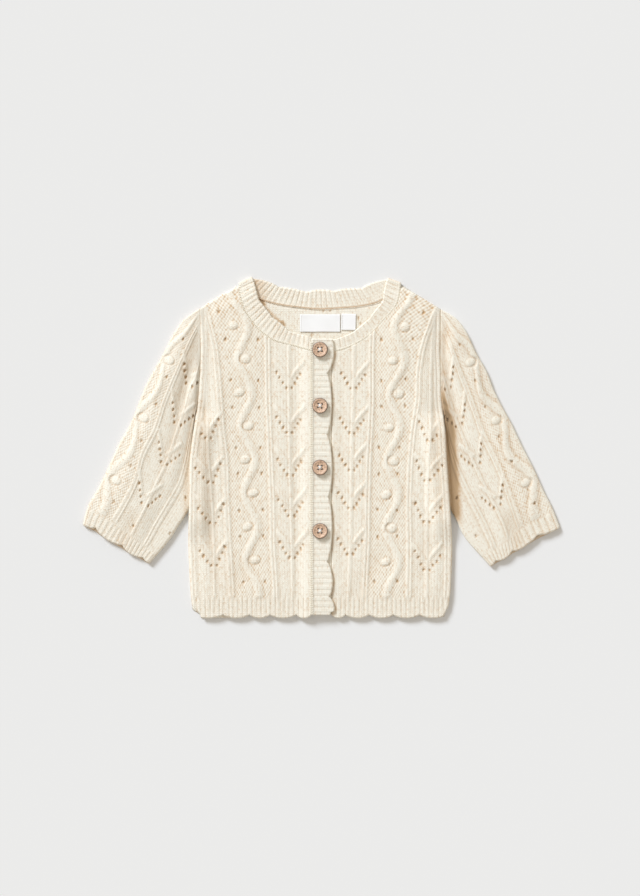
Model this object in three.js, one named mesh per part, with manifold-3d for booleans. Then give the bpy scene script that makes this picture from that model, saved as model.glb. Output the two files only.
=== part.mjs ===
// Baby cardigan in fine cotton knit, laid flat with its front up and its sleeves spread.
// Millimetres, +Z up, +Y towards the neck. The wearer's right side is at negative X.
import * as THREE from 'three';
import { mergeVertices } from 'three/addons/utils/BufferGeometryUtils.js';
import Module from 'manifold-3d';

const wasm = await Module();
wasm.setup();

// Cloth and the air between its layers
const wall = 1.8;
const gap = 0.3;
const layer = wall + gap;
const puff = 1.5;
const sleevePuff = 2.2;
const tuckLift = 2 * layer;

// Knitted relief
const ribHeight = 1.1;
const ribSpacing = 1.7;
const ribHalfWidth = 2;
const cableHeight = 1.5;
const cableHalfWidth = 3;
const spineHeight = 0.9;
const spineHalfWidth = 1.7;
const waveSwing = 5.6;
const wavePeriod = 60.4;
const bobbleRadius = 4.2;
const bobbleHeight = 2.4;
const weltRelief = 0.5;

// Edges
const hemLine = -135;
const hemEnd = -153.5;
const hemRibPitch = 4.2;
const bandRibPitch = 5.2;
const bandTop = 98.5;
const bandSeam = -7.5;
const buttonBandSeam = 10.3;
const buttonSeat = { x: 0, radius: 7, thickness: 2.6 };
const buttonHeights = [88.5, 38, -17.5, -74.5];

// Heights down the body at which its guide lines are given, from the shoulder tip to the hem
const levels = [147.5, 124, 101.5, 88, 68.5, 43, 16, -11, -47, -87.5, -128, -153];

// Each guide line is a vertical line of the knitting, given by its X at each level.
// bobbles: how far each one lies from the middle of the wavy cable. scallops: the notches of the hem.
const rightSide = {
  sign: -1,
  edge: [-108, -108, -108, -107.5, -108, -110, -113.5, -117, -117.5, -118.5, -116.5, -113.5],
  sideRib: [-104.5, -104.5, -104, -104, -104.5, -106, -110, -113.5, -114.5, -114.5, -113, -111.5],
  outerSpine: [-111.5, -107, -104, -103, -102.5, -102, -101, -100, -97, -95.5, -95, -94.5],
  outerRib: [-112.5, -103, -97, -94, -92, -90, -88, -85, -84, -82, -79.5, -79],
  cable: [-77.5, -73, -69.5, -68.5, -68, -66.5, -65.5, -64, -62.5, -61.5, -60.5, -60.5],
  innerRib: [-48.5, -48, -47.5, -47, -47, -46.5, -45.5, -44.5, -43, -42.5, -40, -39.5],
  innerSpine: [-28, -28, -28, -28, -28, -27.5, -27.5, -27, -26, -25, -24.5, -24],
  waveTop: 110.5,
  bobbles: [-7.5, 1.5, -6, 1.5, -3.5, 2.5, -3.5, 2.5],
  shoulder: { x: -108, y: 126, slope: 0.574 },
  overlap: true,
  scallops: [-113.5, -87.5, -63.5, -45, -21.5, -7.5],
  neckSeam: [[-7.5, 88], [-18, 91], [-27, 93.5], [-40.5, 97], [-48.5, 101.5], [-56, 108], [-63, 117],
    [-67.5, 124], [-70.5, 133], [-72, 141], [-72, 147.5]],
  neckEdge: [[-7.5, 100.5], [-18, 102.5], [-27, 106], [-36, 113], [-45, 121.5], [-52, 130.5], [-56.5, 140],
    [-59.5, 153]],
};
const leftSide = {
  sign: 1,
  edge: [108.5, 108.5, 108.5, 108, 109, 109.5, 112.5, 114, 116.5, 119, 117.5, 114.5],
  sideRib: [105, 105, 105, 104.5, 105.5, 106, 109, 110.5, 113, 115, 114.5, 112.5],
  outerSpine: [108, 104.5, 101.5, 101, 100, 100, 99.5, 97.5, 96, 96, 96, 96],
  outerRib: [113.5, 104.5, 96, 92, 89, 88, 84, 81.5, 80, 80.5, 80, 80],
  cable: [80, 74, 71.5, 71, 70, 68, 66.5, 65.5, 65, 65, 65.5, 65.5],
  innerRib: [47, 47, 47, 46.5, 46.5, 46.5, 45.5, 44, 43, 42.5, 40.5, 40],
  innerSpine: [30.5, 30.5, 30.5, 30.5, 30.5, 30, 29, 28.5, 28, 27.5, 26, 25.5],
  waveTop: 109,
  bobbles: [4, -5, 2.5, -4.5, 1, -5.5, 0, -6],
  shoulder: { x: 109, y: 125, slope: -0.545 },
  overlap: false,
  scallops: [10.5, 23, 44.5, 66, 89.5, 114],
  neckSeam: [[10.3, 87], [22.5, 90], [32.5, 94.5], [41.5, 100], [49.5, 107], [56.5, 115], [63, 121.5],
    [68.5, 129], [71, 138], [72, 147.5]],
  neckEdge: [[10.3, 98], [18, 99.5], [27, 103.5], [34, 108], [41.5, 114.5], [47.5, 121.5], [53, 128.5],
    [56, 134], [57.5, 142], [59.5, 152]],
};
const backNeckSeam = [[-72, 147.5], [-63, 140], [-52, 134], [-36, 129.5], [-18, 127], [0, 125.5], [18, 126.5],
  [36, 128], [55, 133], [64, 139.5], [72, 147.5]];
const backNeckEdge = [[-59.5, 153], [-52, 151.5], [-45, 149.5], [-33.5, 146], [-15.5, 142.5], [0, 143],
  [18, 143.5], [33.5, 145], [45, 148.5], [54, 151], [59.5, 152]];

// Each sleeve's guide lines run from the armhole to the cuff: the outer fold, the lines of the knitting
// and the inner fold, whose middle part is tucked under the body's side.
const rightSleeve = {
  side: rightSide,
  fold: [[-108, 126], [-122.5, 116], [-130.5, 105.5], [-141.5, 84.5], [-151, 67.5], [-158, 54], [-164, 38.5],
    [-171, 21.5], [-182, 2], [-191.5, -19], [-200.5, -37], [-209, -52], [-214, -69.5]],
  outerRib: [[-108, 113.5], [-114.5, 101], [-119, 91], [-128, 70], [-139.5, 42.5], [-147.5, 18], [-159.5, -6.5],
    [-165.5, -29.5], [-176.5, -52], [-186.5, -68.5], [-194.5, -81]],
  spine: [[-108, 81], [-111.5, 65], [-117, 54], [-122.5, 34], [-130.5, 10], [-137, -11], [-146, -29.5],
    [-155.5, -50.5], [-165.5, -70], [-176.5, -92.5]],
  innerRib: [[-110.3, 45], [-113.5, 25], [-117, 7], [-120.5, -13.5], [-126, -32.5], [-137, -52], [-147.5, -69.5],
    [-155, -83.5], [-164.5, -99]],
  tuck: [[-111.7, 33.5], [-113.2, 23.5], [-114.7, 12.5], [-113.5, 2.5], [-110.5, -11], [-110, -27],
    [-112.5, -42.5], [-118.5, -56.5], [-128.5, -72], [-136, -83.5], [-154, -104.5]],
  firstNotch: 0.155,
  notchStep: 0.36,
};
const leftSleeve = {
  side: leftSide,
  fold: [[109, 125], [122.5, 117], [131.5, 105.5], [140.5, 86.5], [150.5, 68.5], [156.5, 53], [164.5, 37],
    [172, 23.5], [182, 2.5], [192.5, -18], [201.5, -38], [209.5, -54], [216.5, -72]],
  outerRib: [[109, 112.5], [115, 99], [120.5, 83.5], [126, 68.5], [133, 50.5], [139.5, 32.5], [146.5, 11.5],
    [156.5, -9], [165.5, -30.5], [172, -49.5], [179, -69.5], [187, -87.5]],
  spine: [[109, 79], [111.5, 63], [115, 50.5], [125, 18], [133, -1], [140.5, -18], [149.5, -37], [159.5, -56],
    [167.5, -74], [172, -97]],
  innerRib: [[110, 43], [113.5, 25], [116, 7], [121.5, -12.5], [128, -29], [136, -45], [144, -60.5],
    [150.5, -74], [162, -102.5]],
  tuck: [[111.3, 33.5], [112.5, 23.5], [113.3, 12.5], [111.5, 2], [109.5, -12.5], [110, -29], [113, -43],
    [117.5, -55], [122.5, -64], [129.5, -79], [154, -107]],
  firstNotch: 0.19,
  notchStep: 0.34,
};

// Helpers for curves and heights

const point = (x, y, z) => new THREE.Vector3(x, y, z);
const rise = (from, to, value) => THREE.MathUtils.smoothstep(value, from, to);
const bump = (distance, halfWidth) =>
  Math.abs(distance) < halfWidth ? 0.5 + 0.5 * Math.cos(Math.PI * distance / halfWidth) : 0;

// A guide line's X at a height, on a smooth curve through its values at the levels
function lineAt(values, y) {
  const last = levels.length - 1;
  const slope = (k) => {
    const above = Math.max(k - 1, 0);
    const below = Math.min(k + 1, last);
    return (values[below] - values[above]) / (levels[below] - levels[above]);
  };
  if (y >= levels[0]) return values[0] + slope(0) * (y - levels[0]);
  if (y <= levels[last]) return values[last] + slope(last) * (y - levels[last]);
  let i = 0;
  while (y < levels[i + 1]) i++;
  const step = levels[i + 1] - levels[i];
  const t = (y - levels[i]) / step;
  return THREE.MathUtils.lerp(
    values[i] + slope(i) * step * t * (1 - t) * (1 - t),
    values[i + 1] - slope(i + 1) * step * t * t * (1 - t),
    t * t * (3 - 2 * t));
}

const curveThrough = (list) =>
  new THREE.CatmullRomCurve3(list.map(([x, y]) => point(x, y, 0)), false, 'centripetal');

// Distance inside the body's side edge, and below its shoulder line
const insideEdge = (side, x, y) => side.sign * (lineAt(side.edge, y) - x);
function belowShoulder(side, x, y) {
  const { x: x0, y: y0, slope } = side.shoulder;
  return (y0 + slope * (x - x0) - y) / Math.hypot(1, slope);
}

// The body's side is lifted where the sleeve's inner edge is tucked under it
function lift(side, x, y) {
  const along = (1 - rise(12.5, 36, y)) * rise(-90, -62, y);
  return tuckLift * along * (1 - rise(10, 24, insideEdge(side, x, y)));
}

// Height of the inside of the front layer: it lies on the back and swells a little between its edges
function frontInside(side, x, y) {
  const swell = puff * rise(0, 16, insideEdge(side, x, y)) * rise(0, 14, belowShoulder(side, x, y));
  const hemFade = 0.25 + 0.75 * rise(-153, -123, y);
  const overlap = side.overlap ? layer * rise(-22, -9, x) : 0;
  return lift(side, x, y) + layer + swell * hemFade + overlap;
}

const cableAt = (side, y) =>
  lineAt(side.cable, y) - side.sign * waveSwing * Math.cos(2 * Math.PI * (y - side.waveTop) / wavePeriod);

const doubleRib = (distance) =>
  ribHeight * Math.max(bump(distance - ribSpacing, ribHalfWidth), bump(distance + ribSpacing, ribHalfWidth));

// Raised knitting of a front: double ribs, wavy cable and the spines of the two lace panels
function frontRelief(side, x, y) {
  const high = Math.max(
    doubleRib(x - lineAt(side.sideRib, y)),
    doubleRib(x - lineAt(side.outerRib, y)),
    doubleRib(x - lineAt(side.innerRib, y)),
    cableHeight * bump(x - cableAt(side, y), cableHalfWidth),
    spineHeight * bump(x - lineAt(side.outerSpine, y), spineHalfWidth),
    spineHeight * bump(x - lineAt(side.innerSpine, y), spineHalfWidth));
  return high * rise(hemLine, hemLine + 5, y);
}

// Helpers for sheets of triangles

// Triangles between two rows of points: pair by pair along the shorter diagonal, or where their counts
// differ, walking along both by the key
function zip(a, b, key, out) {
  if (a.length === b.length) {
    for (let i = 0; i + 1 < a.length; i++) {
      if (a[i].distanceTo(b[i + 1]) < a[i + 1].distanceTo(b[i])) {
        out.push([a[i], b[i], b[i + 1]], [a[i], b[i + 1], a[i + 1]]);
      } else {
        out.push([a[i], b[i], a[i + 1]], [a[i + 1], b[i], b[i + 1]]);
      }
    }
    return;
  }
  let i = 0;
  let j = 0;
  while (i < a.length - 1 || j < b.length - 1) {
    const stepA = j === b.length - 1 || (i < a.length - 1 && key(a[i + 1]) <= key(b[j + 1]));
    if (stepA) out.push([a[i], b[j], a[++i]]);
    else out.push([a[i], b[j], b[++j]]);
  }
}

const byX = (p) => p.x;
const byFall = (p) => -p.y;
const column = (rows, end) => rows.map((row) => end ? row[row.length - 1] : row[0]);

// A closed solid from its triangles, whose shared points are merged
function solidFrom(triangles) {
  const flat = new Float32Array(triangles.flatMap((t) => t.flatMap((p) => [p.x, p.y, p.z])));
  const soup = new THREE.BufferGeometry();
  soup.setAttribute('position', new THREE.BufferAttribute(flat, 3));
  return toSolid(soup);
}

function toSolid(geometry) {
  geometry.deleteAttribute('normal');
  geometry.deleteAttribute('uv');
  const merged = mergeVertices(geometry, 1e-4);
  const corners = [];
  for (let i = 0; i < merged.index.count; i += 3) {
    const [a, b, c] = [0, 1, 2].map((k) => merged.index.getX(i + k));
    if (a !== b && b !== c && c !== a) corners.push(a, b, c);
  }
  return new wasm.Manifold(new wasm.Mesh({
    numProp: 3,
    vertProperties: merged.attributes.position.array,
    triVerts: new Uint32Array(corners),
  }));
}

function toGeometry(solid) {
  const mesh = solid.getMesh();
  const geometry = new THREE.BufferGeometry();
  geometry.setAttribute('position', new THREE.BufferAttribute(mesh.vertProperties, 3));
  geometry.setIndex(new THREE.BufferAttribute(mesh.triVerts, 1));
  geometry.computeVertexNormals();
  return geometry;
}

// A wall between an outer and an inner sheet, each a list of rows from top to bottom, left to right
function slab(outer, inner) {
  const triangles = [];
  for (let i = 0; i + 1 < outer.length; i++) zip(outer[i], outer[i + 1], byX, triangles);
  for (let i = 0; i + 1 < inner.length; i++) zip(inner[i + 1], inner[i], byX, triangles);
  zip(inner[0], outer[0], byX, triangles);
  zip(outer[outer.length - 1], inner[inner.length - 1], byX, triangles);
  zip(column(outer, false), column(inner, false), byFall, triangles);
  zip(column(inner, true), column(outer, true), byFall, triangles);
  return solidFrom(triangles);
}

// What an outline keeps of a slab
function cutTo(solid, outline) {
  const shape = new THREE.Shape(outline.map(([x, y]) => new THREE.Vector2(x, y)));
  const prism = new THREE.ExtrudeGeometry(shape, { depth: 60, bevelEnabled: false });
  prism.translate(0, 0, -20);
  return solid.intersect(toSolid(prism));
}

// Scalloped edge between notches: how far the edge stands out at a place along it
function scallop(notches, at, depth) {
  for (let i = 0; i + 1 < notches.length; i++) {
    const [from, to] = [notches[i], notches[i + 1]];
    if (at >= from && at <= to) return depth * Math.sin(Math.PI * (at - from) / (to - from)) ** 0.6;
  }
  return 0;
}

const evenly = (count, from, to) =>
  Array.from({ length: count + 1 }, (_, i) => THREE.MathUtils.lerp(from, to, i / count));

// Body panels

const scallopDepth = 2.6;
const hemEdge = (side, x) => hemEnd + scallopDepth - scallop(side.scallops, x, scallopDepth);

// Outline of one half of the body, from its centre edge up the neck, along the shoulder and down the side
function halfOutline(side, centre, neck) {
  const inset = gap / 2;
  const neckLine = curveThrough(neck).getPoints(26).map((p) => [p.x + side.sign * inset * 0.5, p.y - inset]);
  const shoulderEnd = side.shoulder;
  const tip = neckLine[neckLine.length - 1];
  const sideHeights = [100, 80, 60, 43, 30, 16, 4, -10, -30, -60, -88, -110, -128];
  const corner = [[-145, 2], [-150, 6]].map(([y, inward]) => [lineAt(side.edge, y) - side.sign * inward, y]);
  const outer = lineAt(side.edge, -150) - side.sign * 8;
  const hem = evenly(34, outer, centre).map((x) => [x, hemEdge(side, x)]);
  return [
    ...neckLine,
    [shoulderEnd.x - side.sign * gap / 2, shoulderEnd.y],
    ...sideHeights.map((y) => [lineAt(side.edge, y) - side.sign * gap / 2, y]),
    ...corner,
    ...hem,
    [centre, neckLine[0][1]],
  ];
}

// Heights and side distances shared by the inside of the fronts and the top of the back
const plainHeights = [165, 145, 126, 108, 60, 38, 30, 22, 13, 2, -58, -66, -74, -82, -92, -123, -138, -153, -165];
const edgeSteps = [-6, 2, 10, 13.5, 17, 20.5, 24];

function plainColumns(side, y, inner) {
  const edge = lineAt(side.edge, y);
  const outer = edgeSteps.map((step) => edge - side.sign * step);
  return side.sign < 0 ? [...outer, ...inner] : [...inner, ...outer.reverse()];
}

// Columns of the raised face of a front: each follows a guide line at a distance from it
const frontColumns = [
  ['innerSpine', [-1.7, 0, 1.7]],
  ['innerRib', [-3.7, -1.7, 0, 1.7, 3.7]],
  ['wave', [-3, 0, 3]],
  ['outerRib', [-3.7, -1.7, 0, 1.7, 3.7]],
  ['outerSpine', [-1.7, 0, 1.7]],
  ['fromEdge', [10.5]],
  ['sideRib', [-3.7, -1.7, 0, 1.7]],
  ['fromEdge', [-5]],
];

function frontRow(side, y, centreColumns) {
  const distances = centreColumns.map((x) => x * side.sign);
  for (const [name, offsets] of frontColumns) {
    for (const offset of offsets) {
      const line = { wave: () => cableAt(side, y), fromEdge: () => lineAt(side.edge, y) - side.sign * 2 * offset };
      const base = line[name] ? line[name]() : lineAt(side[name], y);
      const least = distances[distances.length - 1] + 0.5;
      distances.push(Math.max(side.sign * base + offset, least));
    }
  }
  const row = distances.map((distance) => distance * side.sign);
  return side.sign < 0 ? row.reverse() : row;
}

function bobble(x, y, base) {
  const height = bobbleHeight + wall / 2;
  const profile = [[0, 0], [1, 0], [0.9, 0.45], [0.55, 0.85], [0, 1]].map(([r, z]) =>
    new THREE.Vector2(r * bobbleRadius, z * height));
  const dome = new THREE.LatheGeometry(profile, 9).rotateX(Math.PI / 2);
  dome.translate(x, y, base + wall / 2);
  return toSolid(dome);
}

function front(side, centre) {
  const near = side.overlap ? [-5, -9, -12, -15.5, -19, -22] : [8, 14];
  const height = (x, y) => frontInside(side, x, y);
  const rowHeights = evenly(33, 160, hemLine);
  const outer = rowHeights.map((y) =>
    frontRow(side, y, near).map((x) => point(x, y, height(x, y) + wall + frontRelief(side, x, y))));
  const ends = [outer[0][0].x, outer[0][outer[0].length - 1].x];
  const low = Math.min(...ends, -125 * (side.sign < 0));
  const high = Math.max(...ends, 125 * (side.sign > 0));
  const ribs = Math.round((high - low) / hemRibPitch * 2);
  const clearOfBand = (x) => side.overlap ? 1 : rise(14, 18, x);
  for (const y of [hemLine - 3, -165]) {
    outer.push(evenly(ribs, low, high).map((x, i) =>
      point(x, y, height(x, y) + wall + clearOfBand(x) * weltRelief * (i % 2 ? 1 : -0.4))));
  }
  const inner = plainHeights.map((y) =>
    plainColumns(side, y, side.sign < 0 ? [...near, -30, -60].sort((a, b) => a - b) : [...near, 30, 60])
      .map((x) => point(x, y, height(x, y))));
  let solid = cutTo(slab(outer, inner), halfOutline(side, centre, side.neckSeam));
  side.bobbles.forEach((offset, i) => {
    const y = side.waveTop - i * wavePeriod / 2;
    const x = lineAt(side.cable, y) + offset;
    solid = solid.add(bobble(x, y, height(x, y)));
  });
  return solid;
}

function back() {
  const middle = [-30, 0, 30];
  const sideOf = (x) => x < 0 ? rightSide : leftSide;
  const rowAt = (y, extra) => [
    ...plainColumns(rightSide, y, []),
    ...middle,
    ...plainColumns(leftSide, y, []),
  ].map((x) => point(x, y, lift(sideOf(x), x, y) + extra));
  const solid = slab(plainHeights.map((y) => rowAt(y, wall)), plainHeights.map((y) => rowAt(y, 0)));
  const half = (side) => halfOutline(side, 0, side.sign < 0
    ? backNeckSeam.slice(0, 6).reverse()
    : backNeckSeam.slice(5));
  const right = half(rightSide).slice(0, -1);
  const left = half(leftSide).slice(0, -1).reverse();
  return cutTo(solid, [...right, ...left.slice(1, -1)]);
}

// Sleeves

// Shares of a sleeve's length and width
const cuffStart = 0.93;
const cuffScallop = 0.011;
const armholeGap = 0.0016;
const sleeveBobble = 0.13;
const sleeveBobbles = [0.2, 0.455, 0.735];

// A sleeve's places are given by u, across from the outer fold to the inner one, and v, from armhole to cuff
function sleevePlace(sleeve) {
  const names = ['fold', 'outerRib', 'spine', 'innerRib', 'tuck'];
  const curves = names.map((name) => curveThrough(sleeve[name]));
  const stations = [0, 0.3, 0.56, 0.8, 1];
  return (u, v) => {
    const last = stations.length - 2;
    const i = Math.min(last, Math.max(0, stations.findIndex((s) => u <= s) - 1));
    const t = (u - stations[i]) / (stations[i + 1] - stations[i]);
    return curves[i].getPointAt(v).lerp(curves[i + 1].getPointAt(v), t);
  };
}

// Height of the inside of a sleeve's upper layer, with the valley where it bends down at the armhole
function sleeveInside(u, v) {
  const swell = sleevePuff * rise(0, 0.2, u) * rise(0.17, 0.46, 1 - u) * rise(0, 0.12, v) * (1 - 0.8 * rise(0.82, 1, v));
  const valley = 1 - 0.85 * bump(u - 0.5, 0.14) * rise(0.02, 0.14, v) * (1 - rise(0.2, 0.45, v));
  return layer + swell * valley;
}

const sleeveWave = (v) => 0.1 + 0.055 * Math.cos(2 * Math.PI * (v - 0.32) / 0.275);

function sleeveRelief(place, u, v) {
  const width = place(0, v).distanceTo(place(1, v));
  const across = (line) => (u - line) * width;
  const high = Math.max(
    doubleRib(across(0.3)),
    doubleRib(across(0.8)),
    spineHeight * bump(across(0.56), spineHalfWidth),
    cableHeight * bump(across(sleeveWave(v)), cableHalfWidth));
  return high * rise(0, 0.05, v) * (1 - rise(cuffStart - 0.03, cuffStart, v)) * (1 - rise(0.9, 0.97, u));
}

function sleeve(guides) {
  const { side, firstNotch, notchStep } = guides;
  const place = sleevePlace(guides);
  const notches = evenly(4, firstNotch - notchStep, firstNotch + 3 * notchStep);
  const end = (u) => 1 - cuffScallop + scallop(notches, u, cuffScallop);
  const mid = wall + gap / 2;
  // Puts a point in from the fold at u 0 or 1 by a distance in millimetres
  const inset = (u, v, distance) => {
    const width = place(0, v).distanceTo(place(1, v));
    return u < 0.5 ? distance / width : 1 - distance / width;
  };
  const at = (u, v, z) => {
    const p = place(u, v);
    return point(p.x, p.y, z);
  };
  const order = (row) => side.sign < 0 ? row : row.reverse();
  const loop = (v, us, top, bottom, edge) => {
    const vAt = (u) => Math.min(v, end(u));
    const ends = [at(inset(0, v, edge), vAt(0), mid), at(inset(1, v, edge), vAt(1), mid)];
    const line = (list, height) => order([ends[0], ...list.map((u) => at(u, vAt(u), height(u, vAt(u)))), ends[1]]);
    return { top: line(us.top, top), bottom: line(us.bottom, bottom) };
  };
  const innerUs = (v) => [inset(0, v, 3.5), 0.14, 0.2, 0.36, 0.43, 0.5, 0.57, 0.65, 0.82, inset(1, v, 3.5)];
  const knitUs = (v) => {
    const width = place(0, v).distanceTo(place(1, v));
    const around = (line, offsets) => offsets.map((offset) => line + offset / width);
    return [inset(0, v, 0.6), ...around(Math.max(sleeveWave(v), 3.8 / width), [-3, 0, 3]), 0.23,
      ...around(0.3, [-3.7, -1.7, 0, 1.7, 3.7]), 0.43, 0.5,
      ...around(0.56, [-1.7, 0, 1.7]), 0.68, ...around(0.8, [-3.7, -1.7, 0, 1.7, 3.7]), inset(1, v, 0.6)];
  };
  const plainUs = (v) => [inset(0, v, 0.6), 0.25, 0.5, 0.75, inset(1, v, 0.6)];
  const ribUs = (v) => [inset(0, v, 0.6), ...evenly(32, 0.03, 0.97), inset(1, v, 0.6)];
  const top = (u, v) => sleeveInside(u, v) + wall + sleeveRelief(place, u, v);
  const welt = (u, v) => {
    const rib = Math.round((u - 0.03) / 0.94 * 32);
    return sleeveInside(u, v) + wall + weltRelief * (rib % 2 ? 1 : -0.4);
  };
  const outer = [
    ...evenly(22, armholeGap, cuffStart).map((v) => loop(v, { top: knitUs(v), bottom: plainUs(v) }, top, () => 0, 0)),
    loop(cuffStart + 0.012, { top: ribUs(0.94), bottom: plainUs(0.94) }, welt, () => 0, 0),
    loop(1, { top: ribUs(1), bottom: ribUs(1) }, welt, () => 0, 0),
  ];
  const inside = (u, v) => sleeveInside(u, v);
  const inner = [armholeGap, 0.06, 0.12, 0.18, 0.25, 0.35, 0.45, 0.6, 0.75, 0.85, cuffStart, 1].map((v) =>
    loop(v, v < 1
      ? { top: innerUs(v), bottom: plainUs(v).slice(1, -1) }
      : { top: ribUs(1).slice(1, -1), bottom: ribUs(1).slice(1, -1) }, inside, () => wall, wall));
  const triangles = [];
  const key = (p) => p.key;
  // Each row is walked by its own share of the way across
  const rows = [...outer, ...inner].flatMap((r) => [r.top, r.bottom]);
  for (const row of rows) {
    const ends = [row[0], row[row.length - 1]];
    for (const p of row) {
      const first = p.distanceTo(ends[0]);
      p.key = p.key ?? first / (first + p.distanceTo(ends[1]));
    }
  }
  for (let i = 0; i + 1 < outer.length; i++) {
    zip(outer[i].top, outer[i + 1].top, key, triangles);
    zip(outer[i + 1].bottom, outer[i].bottom, key, triangles);
  }
  for (let i = 0; i + 1 < inner.length; i++) {
    zip(inner[i + 1].top, inner[i].top, key, triangles);
    zip(inner[i].bottom, inner[i + 1].bottom, key, triangles);
  }
  const lastOuter = outer[outer.length - 1];
  const lastInner = inner[inner.length - 1];
  zip(inner[0].top, outer[0].top, key, triangles);
  zip(outer[0].bottom, inner[0].bottom, key, triangles);
  zip(lastOuter.top, lastInner.top, key, triangles);
  zip(lastInner.bottom, lastOuter.bottom, key, triangles);
  let solid = solidFrom(triangles);
  for (const v of sleeveBobbles) {
    const { x, y } = place(sleeveBobble, v);
    solid = solid.add(bobble(x, y, sleeveInside(sleeveBobble, v)));
  }
  return solid;
}

// Neckband: one ribbed strip from front edge to front edge, folded at the shoulders

function neckband() {
  const stations = [];
  const outward = { [-1]: point(-0.4, 0.92, 0), [1]: point(0.4, 0.92, 0) };
  const frontPart = (side) => {
    const seam = curveThrough(side.neckSeam);
    const edge = curveThrough(side.neckEdge);
    const ribs = Math.round(seam.getLength() / bandRibPitch) * 2;
    const scallops = evenly(4, 0, 1);
    return evenly(ribs, 0.004, 1).map((t, i) => {
      const width = edge.getPointAt(t).sub(seam.getPointAt(t));
      const reach = 1 - 0.12 + scallop(scallops, t, 0.12);
      return { side, seam: seam.getPointAt(t), edge: seam.getPointAt(t).addScaledVector(width, reach), turn: 0, i };
    });
  };
  const fold = (side, station) =>
    [0.25, 0.5, 0.75].map((turn) => ({ ...station, side, turn: turn * Math.PI, i: 1 }));
  const right = frontPart(rightSide);
  const left = frontPart(leftSide);
  const backSeam = curveThrough(backNeckSeam);
  const backEdge = curveThrough(backNeckEdge);
  const ribs = Math.round(backSeam.getLength() / bandRibPitch) * 2;
  const notches = evenly(5, 0, 1);
  const rear = evenly(ribs, 0, 1).map((t, i) => {
    const seam = backSeam.getPointAt(t);
    const width = backEdge.getPointAt(t).sub(seam);
    const reach = 1 - 0.1 + scallop(notches, t, 0.1);
    const side = seam.x < 0 ? rightSide : leftSide;
    return { side, seam, edge: seam.clone().addScaledVector(width, reach), turn: Math.PI, i };
  });
  rear[0].edge.copy(right[right.length - 1].edge);
  rear[rear.length - 1].edge.copy(left[left.length - 1].edge);
  stations.push(...right, ...fold(rightSide, right[right.length - 1]), ...rear,
    ...fold(leftSide, left[left.length - 1]), ...left.reverse());

  const radius = (wall + gap) / 2;
  const rings = stations.map(({ side, seam, edge, turn, i }) => {
    const width = edge.clone().sub(seam);
    const ring = [];
    const normal = outward[side.sign].clone().multiplyScalar(Math.sin(turn)).setZ(Math.cos(turn));
    const middle = (share) => {
      const reach = width.length();
      const from = Math.max(share, 0.4 / reach);
      const p = seam.clone().addScaledVector(width, from);
      const swell = turn < Math.PI / 2 ? frontInside(side, p.x, p.y) - layer : 0;
      p.z = wall + gap / 2;
      return p.addScaledVector(normal, radius).add(point(0, 0, swell * Math.cos(turn)));
    };
    const fade = side.sign > 0 && turn === 0 ? rise(14, 18, seam.x) : 1;
    const relief = fade * weltRelief * (i % 2 ? 1 : -0.4);
    const raised = turn === 0 ? relief : 0;
    const shown = turn === Math.PI ? relief * (1 - rise(38, 48, Math.abs(seam.x))) : 0;
    for (const share of [0, 1]) ring.push(middle(share).addScaledVector(normal, wall / 2 + raised));
    for (const share of [1, 0]) ring.push(middle(share).addScaledVector(normal, -wall / 2 - shown));
    return ring;
  });
  const triangles = [];
  for (let i = 0; i + 1 < rings.length; i++) {
    const [a, b] = [rings[i], rings[i + 1]];
    for (let k = 0; k < 4; k++) {
      const n = (k + 1) % 4;
      triangles.push([a[k], a[n], b[k]], [a[n], b[n], b[k]]);
    }
  }
  const cap = (r, flip) => {
    const faces = [[r[0], r[3], r[1]], [r[3], r[2], r[1]]];
    return flip ? faces.map(([a, b, c]) => [a, c, b]) : faces;
  };
  triangles.push(...cap(rings[0], false), ...cap(rings[rings.length - 1], true));
  return solidFrom(triangles);
}

// Front bands

const bandHeights = [105, 60, 0, -60, -110, -123, -133, -143, -153, -165];
// Notches of the buttonhole band's free edge, from the top down
const bandNotches = [[104, 8], [67.5, 6.3], [12, 6.3], [-44, 7.2], [-102.5, 6.3], [-134, 8], [-152, 9.5]];

function buttonholeBand() {
  const height = (x, y) => frontInside(rightSide, -8.9, y) + gap / 4;
  const xs = [-10, 3, 16];
  const ribs = evenly(Math.round((105 + 165) / bandRibPitch) * 2, 105, -165);
  const outer = ribs.map((y, i) => xs.map((x) => point(x, y, height(x, y) + wall + weltRelief * (i % 2 ? 1 : -0.4))));
  const inner = bandHeights.map((y) => xs.map((x) => point(x, y, height(x, y))));
  const edge = [];
  for (let i = 0; i + 1 < bandNotches.length; i++) {
    const [[y0, x0], [y1, x1]] = [bandNotches[i], bandNotches[i + 1]];
    const bulge = i === 0 ? 5.6 : 4.4;
    for (const t of evenly(8, 0, 1).slice(0, -1)) {
      edge.push([x0 + (x1 - x0) * t + bulge * Math.sin(Math.PI * t) ** 0.6, y0 + (y1 - y0) * t]);
    }
  }
  const free = edge.filter(([, y]) => y < bandTop && y > hemEnd + 4);
  const seam = bandSeam + gap / 2;
  return cutTo(slab(outer, inner), [[seam, bandTop], [free[0][0] - 1, bandTop], ...free, [9.5, -150.5], [seam, -150.5]]);
}

function buttonBand() {
  const height = (y) => frontInside(leftSide, 0, y);
  const xs = [-6.5, buttonBandSeam - gap / 2];
  const rows = bandHeights.map((y) => Math.min(Math.max(y, -149.5), 97));
  const sheet = (extra) => [...new Set(rows)].map((y) => xs.map((x) => point(x, y, height(y) + extra)));
  return slab(sheet(wall), sheet(0));
}

// Buttons and labels

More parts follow.
